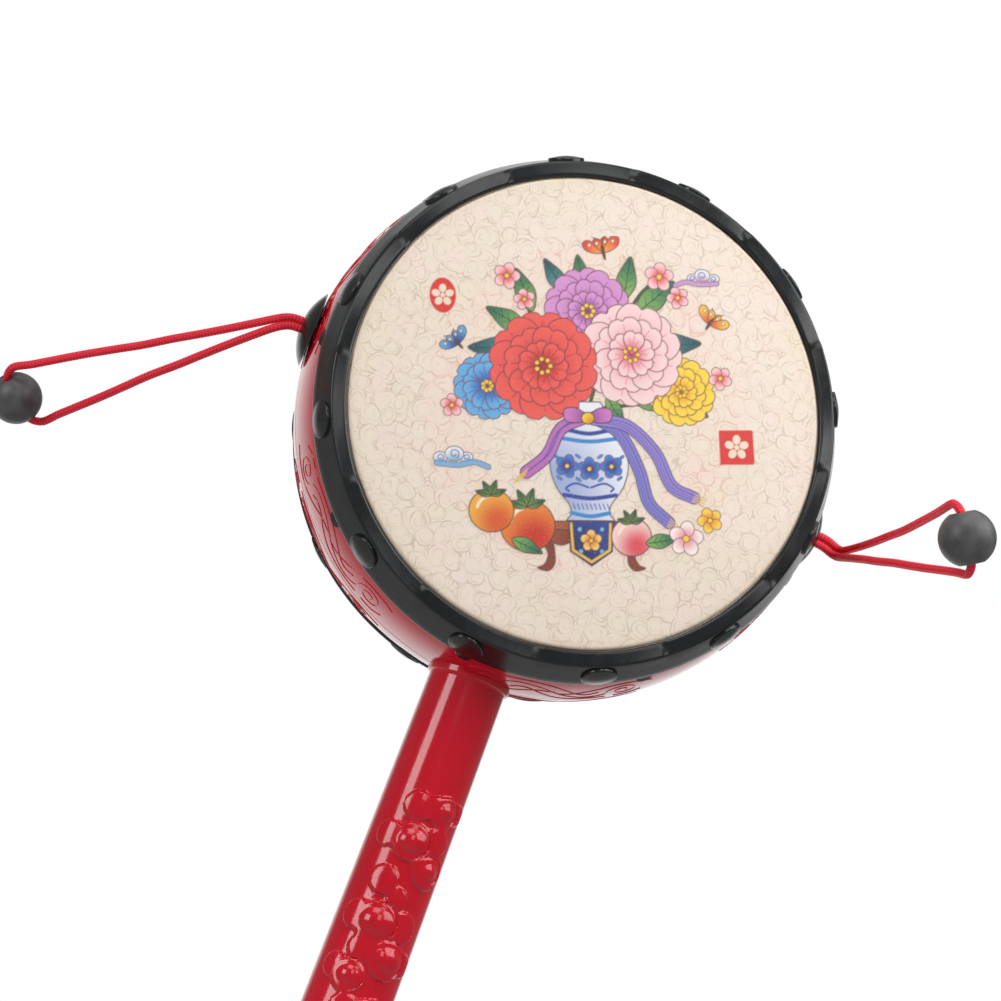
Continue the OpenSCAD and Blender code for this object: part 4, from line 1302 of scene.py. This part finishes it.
def print_mesh(name, picture, face):
    """The inked part of a skin, lying just on its crown."""
    inked = picture.cover > LEAST_INK
    keep = inked[:-1, :-1] | inked[1:, :-1] | inked[:-1, 1:] | inked[1:, 1:]
    rows, columns = np.nonzero(keep)
    wide = picture.x.shape[1]
    corner = rows * wide + columns
    quads = np.stack([corner, corner + 1, corner + wide + 1, corner + wide], axis=1)
    used, quads = np.unique(quads, return_inverse=True)
    flat = np.stack([picture.x.ravel()[used], picture.y.ravel()[used]], axis=1)
    flat = turned(flat, (0.0, 0.0), PRINT_TURN, PRINT_SCALE)
    height = crown(np.hypot(*flat.T)) + INK_LIFT
    mesh = smooth_mesh(name, at_face(np.column_stack([flat, height]), face), quads.reshape(-1, 4).tolist())
    cover = picture.cover.ravel()[used]
    tone = picture.ink.reshape(-1, 3)[used] / np.maximum(cover, 1e-6)[:, None]
    ink = mesh.color_attributes.new("ink", "FLOAT_COLOR", "POINT")
    ink.data.foreach_set("color", np.column_stack([tone, cover]).astype(np.float32).ravel())
    return mesh


def make_skin(face, picture):
    """A stretched skin: its crowned field, rounded edge and clamped rim, and the picture printed on it."""
    name = f"{FACE_NAME[face]}_skin"
    inner_r = SKIN_R - SKIN_T
    outside = [(r, crown(r)) for r in np.linspace(0, SKIN_FIELD_R, 36)]
    edge = arc((SKIN_FIELD_R, SKIN_EDGE - SKIN_ROUND), SKIN_ROUND, 82, 0, 8)
    rim = [(SKIN_R, RIM_FRONT), (RIM_R, RIM_FRONT), (RIM_R, RIM_BACK), (inner_r, RIM_BACK)]
    over_bearing = BEARING_END + SKIN_GAP
    inside = [(inner_r, over_bearing - BEARING_EASE), (inner_r - BEARING_EASE, over_bearing)]
    inside += [(r, crown(r) - SKIN_T) for r in np.linspace(SKIN_FIELD_R * SKIN_INSIDE_SHARE, 0, 20)]
    points, faces = lathe(outside + edge + rim + inside, SKIN_SIDES)
    sheet = add_solid(f"{name}_sheet", at_face(points, face), faces, bare_skin, name)
    ink = add_piece(f"{name}_print", print_mesh(f"{name}_print", picture, face), inked_skin, "drum")


picture = flower_picture()
for face in (FRONT, BACK):
    make_barrel(face)
    make_hoop(face)
    make_skin(face, picture)


def handle_r(z):
    """Radius of the handle at a height: a straight grip, then a cone up to the collar."""
    return GRIP_R + (HANDLE_TOP_R - GRIP_R) * np.maximum(z - GRIP_L, 0) / (HANDLE_L - GRIP_L)


def relief(z, around):
    """Height of the handle's cloud relief over its cone, at a height and an angle from the front: a low plate
    of merged lobes, and higher domed buds on it, each with a groove round it that opens into a curl."""
    outside = np.full(z.shape, OUT_OF_REACH)
    domes = np.zeros_like(outside)
    groove = np.zeros_like(outside)
    for top in RELIEF_TOP - RELIEF_PITCH * np.arange(RELIEF_COUNT):
        for face in (0, 180):
            for drop, angle, radius in LOBES:
                u, v, _ = off_spot(z, around, top - drop, angle + face)
                outside = soft_least(outside, np.hypot(u, v) - LOBE_SPREAD * radius)
            for drop, angle, radius, high in BUDS:
                u, v, bend = off_spot(z, around, top - drop, angle + face)
                far = np.hypot(u, v)
                wide = BUD_SPREAD * radius
                outside = soft_least(outside, far - wide - BUD_SEAT)
                ball = dome_r(wide, high)
                centre = handle_r(top - drop) + high - ball
                inside = ball**2 - v**2 - (centre * np.sin(bend)) ** 2
                bud = centre * np.cos(bend) + np.sqrt(np.maximum(inside, 0)) - handle_r(z)
                domes = np.maximum(domes, np.where((inside > 0) & (far < wide), bud, 0))
                way = np.arctan2(v, u)
                curl = wide + CURL_GAP + CURL_OPENING * ((way + CURL_START) / math.tau % 1.0)
                side = smooth_step(CURL_BIAS + np.cos(way - CURL_SIDE))
                groove = np.maximum(groove, side * np.exp(-(((far - curl) / GROOVE_W) ** 2)))
    plate = (PLATE_H + PLATE_PUFF * smooth_step(-outside / 2)) * smooth_step(-outside / PLATE_EDGE)
    from_face = np.degrees(np.abs((around + math.pi / 2) % math.pi - math.pi / 2))
    kept = smooth_step((RELIEF_SPAN - from_face) / RELIEF_FADE)
    return kept * np.maximum(plate - np.minimum(GROOVE_DEPTH * groove, GROOVE_SHARE * plate), domes)


def soft_least(one, other):
    """The lesser of two distances, eased where they are near each other."""
    near = np.maximum(LOBE_NECK - np.abs(one - other), 0)
    return np.minimum(one, other) - near**2 / (4 * LOBE_NECK)


def off_spot(z, around, z0, angle):
    """Offsets round and along the handle from a spot, and the angle to it. Far spots are out of reach."""
    bend = (around - math.radians(angle) + math.pi) % math.tau - math.pi
    near = np.abs(bend) < SPOT_SPAN
    u = np.where(near, (handle_r(z0) + PLATE_H) * np.sin(bend), OUT_OF_REACH)
    return u, z - z0, np.where(near, bend, 0.0)


def make_handle():
    """The handle: its grip, cone, moulded relief and collar, and the cap in its end."""
    relief_low = RELIEF_TOP - RELIEF_COUNT * RELIEF_PITCH - RELIEF_BELOW
    relief_high = RELIEF_TOP + RELIEF_ABOVE
    neck_z = HANDLE_L - COLLAR_H
    neck_r = handle_r(neck_z)
    heel = arc((GRIP_R - GRIP_ROUND, GRIP_ROUND), GRIP_ROUND, -90, 0, 5)
    heights = np.concatenate([np.arange(2.0, relief_low, 1.0), np.arange(relief_low, relief_high, RELIEF_ROW),
                              np.arange(relief_high, neck_z - 0.5, 0.7)])
    shaft = [(handle_r(z), z) for z in heights]
    collar_end = HANDLE_L + COLLAR_SUNK
    collar = [(neck_r, neck_z - COLLAR_COVE_H), (neck_r + COLLAR_COVE, neck_z - COLLAR_COVE),
              (COLLAR_R - COLLAR_ROUND, neck_z), (COLLAR_R, neck_z + COLLAR_ROUND), (COLLAR_R, collar_end),
              (0, collar_end)]

    def raise_relief(radius, height, angle):
        on_shaft = (height > relief_low) & (height < relief_high)
        from_front = angle + math.pi / 2 + 0 * height
        return radius + np.where(on_shaft, relief(height, from_front), 0), height

    points, faces = lathe([(0, 0)] + heel + shaft + collar, HANDLE_SIDES, raise_relief)
    add_solid("handle_moulded", points, faces, red_plastic, "handle")

    ball_r = dome_r(CAP_R, CAP_H)
    head = arc((0, ball_r - CAP_H - FIT), ball_r, -90, from_pole(CAP_R, ball_r) - 90 - CAP_EASE, 14)[1:]
    rim = [(CAP_R, -FIT - CAP_RIM_T), (CAP_R - CAP_RIM_EASE, -FIT)]
    plug = [(PLUG_R, -FIT), (PLUG_R, PLUG_L), (0, PLUG_L)]
    points, faces = lathe([(0, -CAP_H - FIT)] + head + rim + plug, TURNED_SIDES)
    add_solid("handle_cap", points, faces, red_plastic, "handle_end_cap")


def make_eyelet(side):
    """A domed eyelet with an eased mouth, its shank reaching into the shell."""
    name = f"{SIDE_NAME[side]}_eyelet"
    mouth_r = EYELET_BORE_R + MOUTH_ROUND
    ball_r = dome_r(EYELET_R, EYELET_TOP - EYELET_BACK)
    dome = arc((0, EYELET_TOP - ball_r), ball_r, 90 - from_pole(EYELET_R - EYELET_RIM, ball_r),
               90 - from_pole(mouth_r, ball_r), 20)
    lip = arc((mouth_r, dome[-1][1] - MOUTH_ROUND), MOUTH_ROUND, 80, 180, 6)
    flange_top = SHANK_END + SHANK_FLANGE_T
    shank = [(EYELET_BORE_R, SHANK_END), (SHANK_FLANGE_R, SHANK_END), (SHANK_FLANGE_R, flange_top),
             (SHANK_R, flange_top), (SHANK_R, EYELET_BACK), (EYELET_R - EYELET_HEEL, EYELET_BACK),
             (EYELET_R, EYELET_BACK + EYELET_HEEL_H)]
    points, faces = lathe(dome + lip + shank, TURNED_SIDES)
    add_solid(f"{name}_dome", at_side(points, side), faces, black_plastic, name)


make_handle()
for side in (LEFT, RIGHT):
    make_eyelet(side)


def make_floor():
    """A plain pale floor under the part, that throws no light back on it."""
    level = cad_low.z - FLOOR_GAP
    corners = [(x * FLOOR_HALF, y * FLOOR_HALF, level) for x, y in ((-1, -1), (1, -1), (1, 1), (-1, 1))]
    mesh = bpy.data.meshes.new("floor")
    mesh.from_pydata(corners, [], [(0, 1, 2, 3)])
    mesh.materials.append(floor_paper)
    floor = bpy.data.objects.new("floor", mesh)
    floor.visible_glossy = False
    floor.visible_diffuse = False
    scene.collection.objects.link(floor)


def soft_box(name, azimuth, elevation, away, wide, high, radiance):
    """A soft box that faces the drum."""
    a = math.radians(azimuth)
    e = math.radians(elevation)
    towards = Vector((math.sin(a) * math.cos(e), -math.cos(a) * math.cos(e), math.sin(e)))
    light = bpy.data.lights.new(name, "AREA")
    light.shape = "RECTANGLE"
    light.size = wide
    light.size_y = high
    light.energy = radiance * math.pi * wide * high
    box = bpy.data.objects.new(name, light)
    box.location = Vector(STUDIO_MIDDLE) + towards * away
    box.rotation_euler = (-towards).to_track_quat("-Z", "Y").to_euler()
    box.visible_camera = False
    scene.collection.objects.link(box)


def make_studio():
    """White backdrop, brighter behind the drum than in front of it, and soft boxes."""
    world = bpy.data.worlds.new("studio")
    world.use_nodes = True
    scene.world = world
    nodes = Nodes(world.node_tree)
    way = nodes.apart(nodes.node("ShaderNodeTexCoord")["Generated"])
    behind = nodes.step(way["Y"], 0.72, 0.95, 0.22, 1.1)
    above = nodes.step(way["Z"], 0.7, 0.95, 0.0, 0.7)
    below = nodes.step(way["Z"], -1.0, 0.1, 0.3, 0.0)
    lit = behind + above + below
    seen = nodes.node("ShaderNodeLightPath")["Is Camera Ray"]
    sky = world.node_tree.nodes["Background"]
    nodes.fill(sky.inputs["Color"], (1.0, 1.0, 1.0, 1.0))
    nodes.fill(sky.inputs["Strength"], seen * (1.0 - lit) + lit)
    for name, settings in SOFT_BOXES.items():
        soft_box(name, *settings)


def make_camera():
    """The photograph's camera."""
    data = bpy.data.cameras.new("photo_camera")
    data.lens = CAMERA_LENS
    data.sensor_width = SENSOR_W
    data.clip_start = CLIP_START
    camera = bpy.data.objects.new("photo_camera", data)
    axes = np.stack([CAMERA_RIGHT, -np.array(CAMERA_DOWN), -np.array(CAMERA_AHEAD)], axis=1)
    camera.matrix_world = Matrix.Translation(Vector(CAMERA_PLACE) * MM) @ Matrix(axes.tolist()).to_4x4()
    scene.collection.objects.link(camera)
    scene.camera = camera


make_floor()
make_studio()
make_camera()
scene.view_settings.view_transform = "Standard"
bpy.context.view_layer.update()
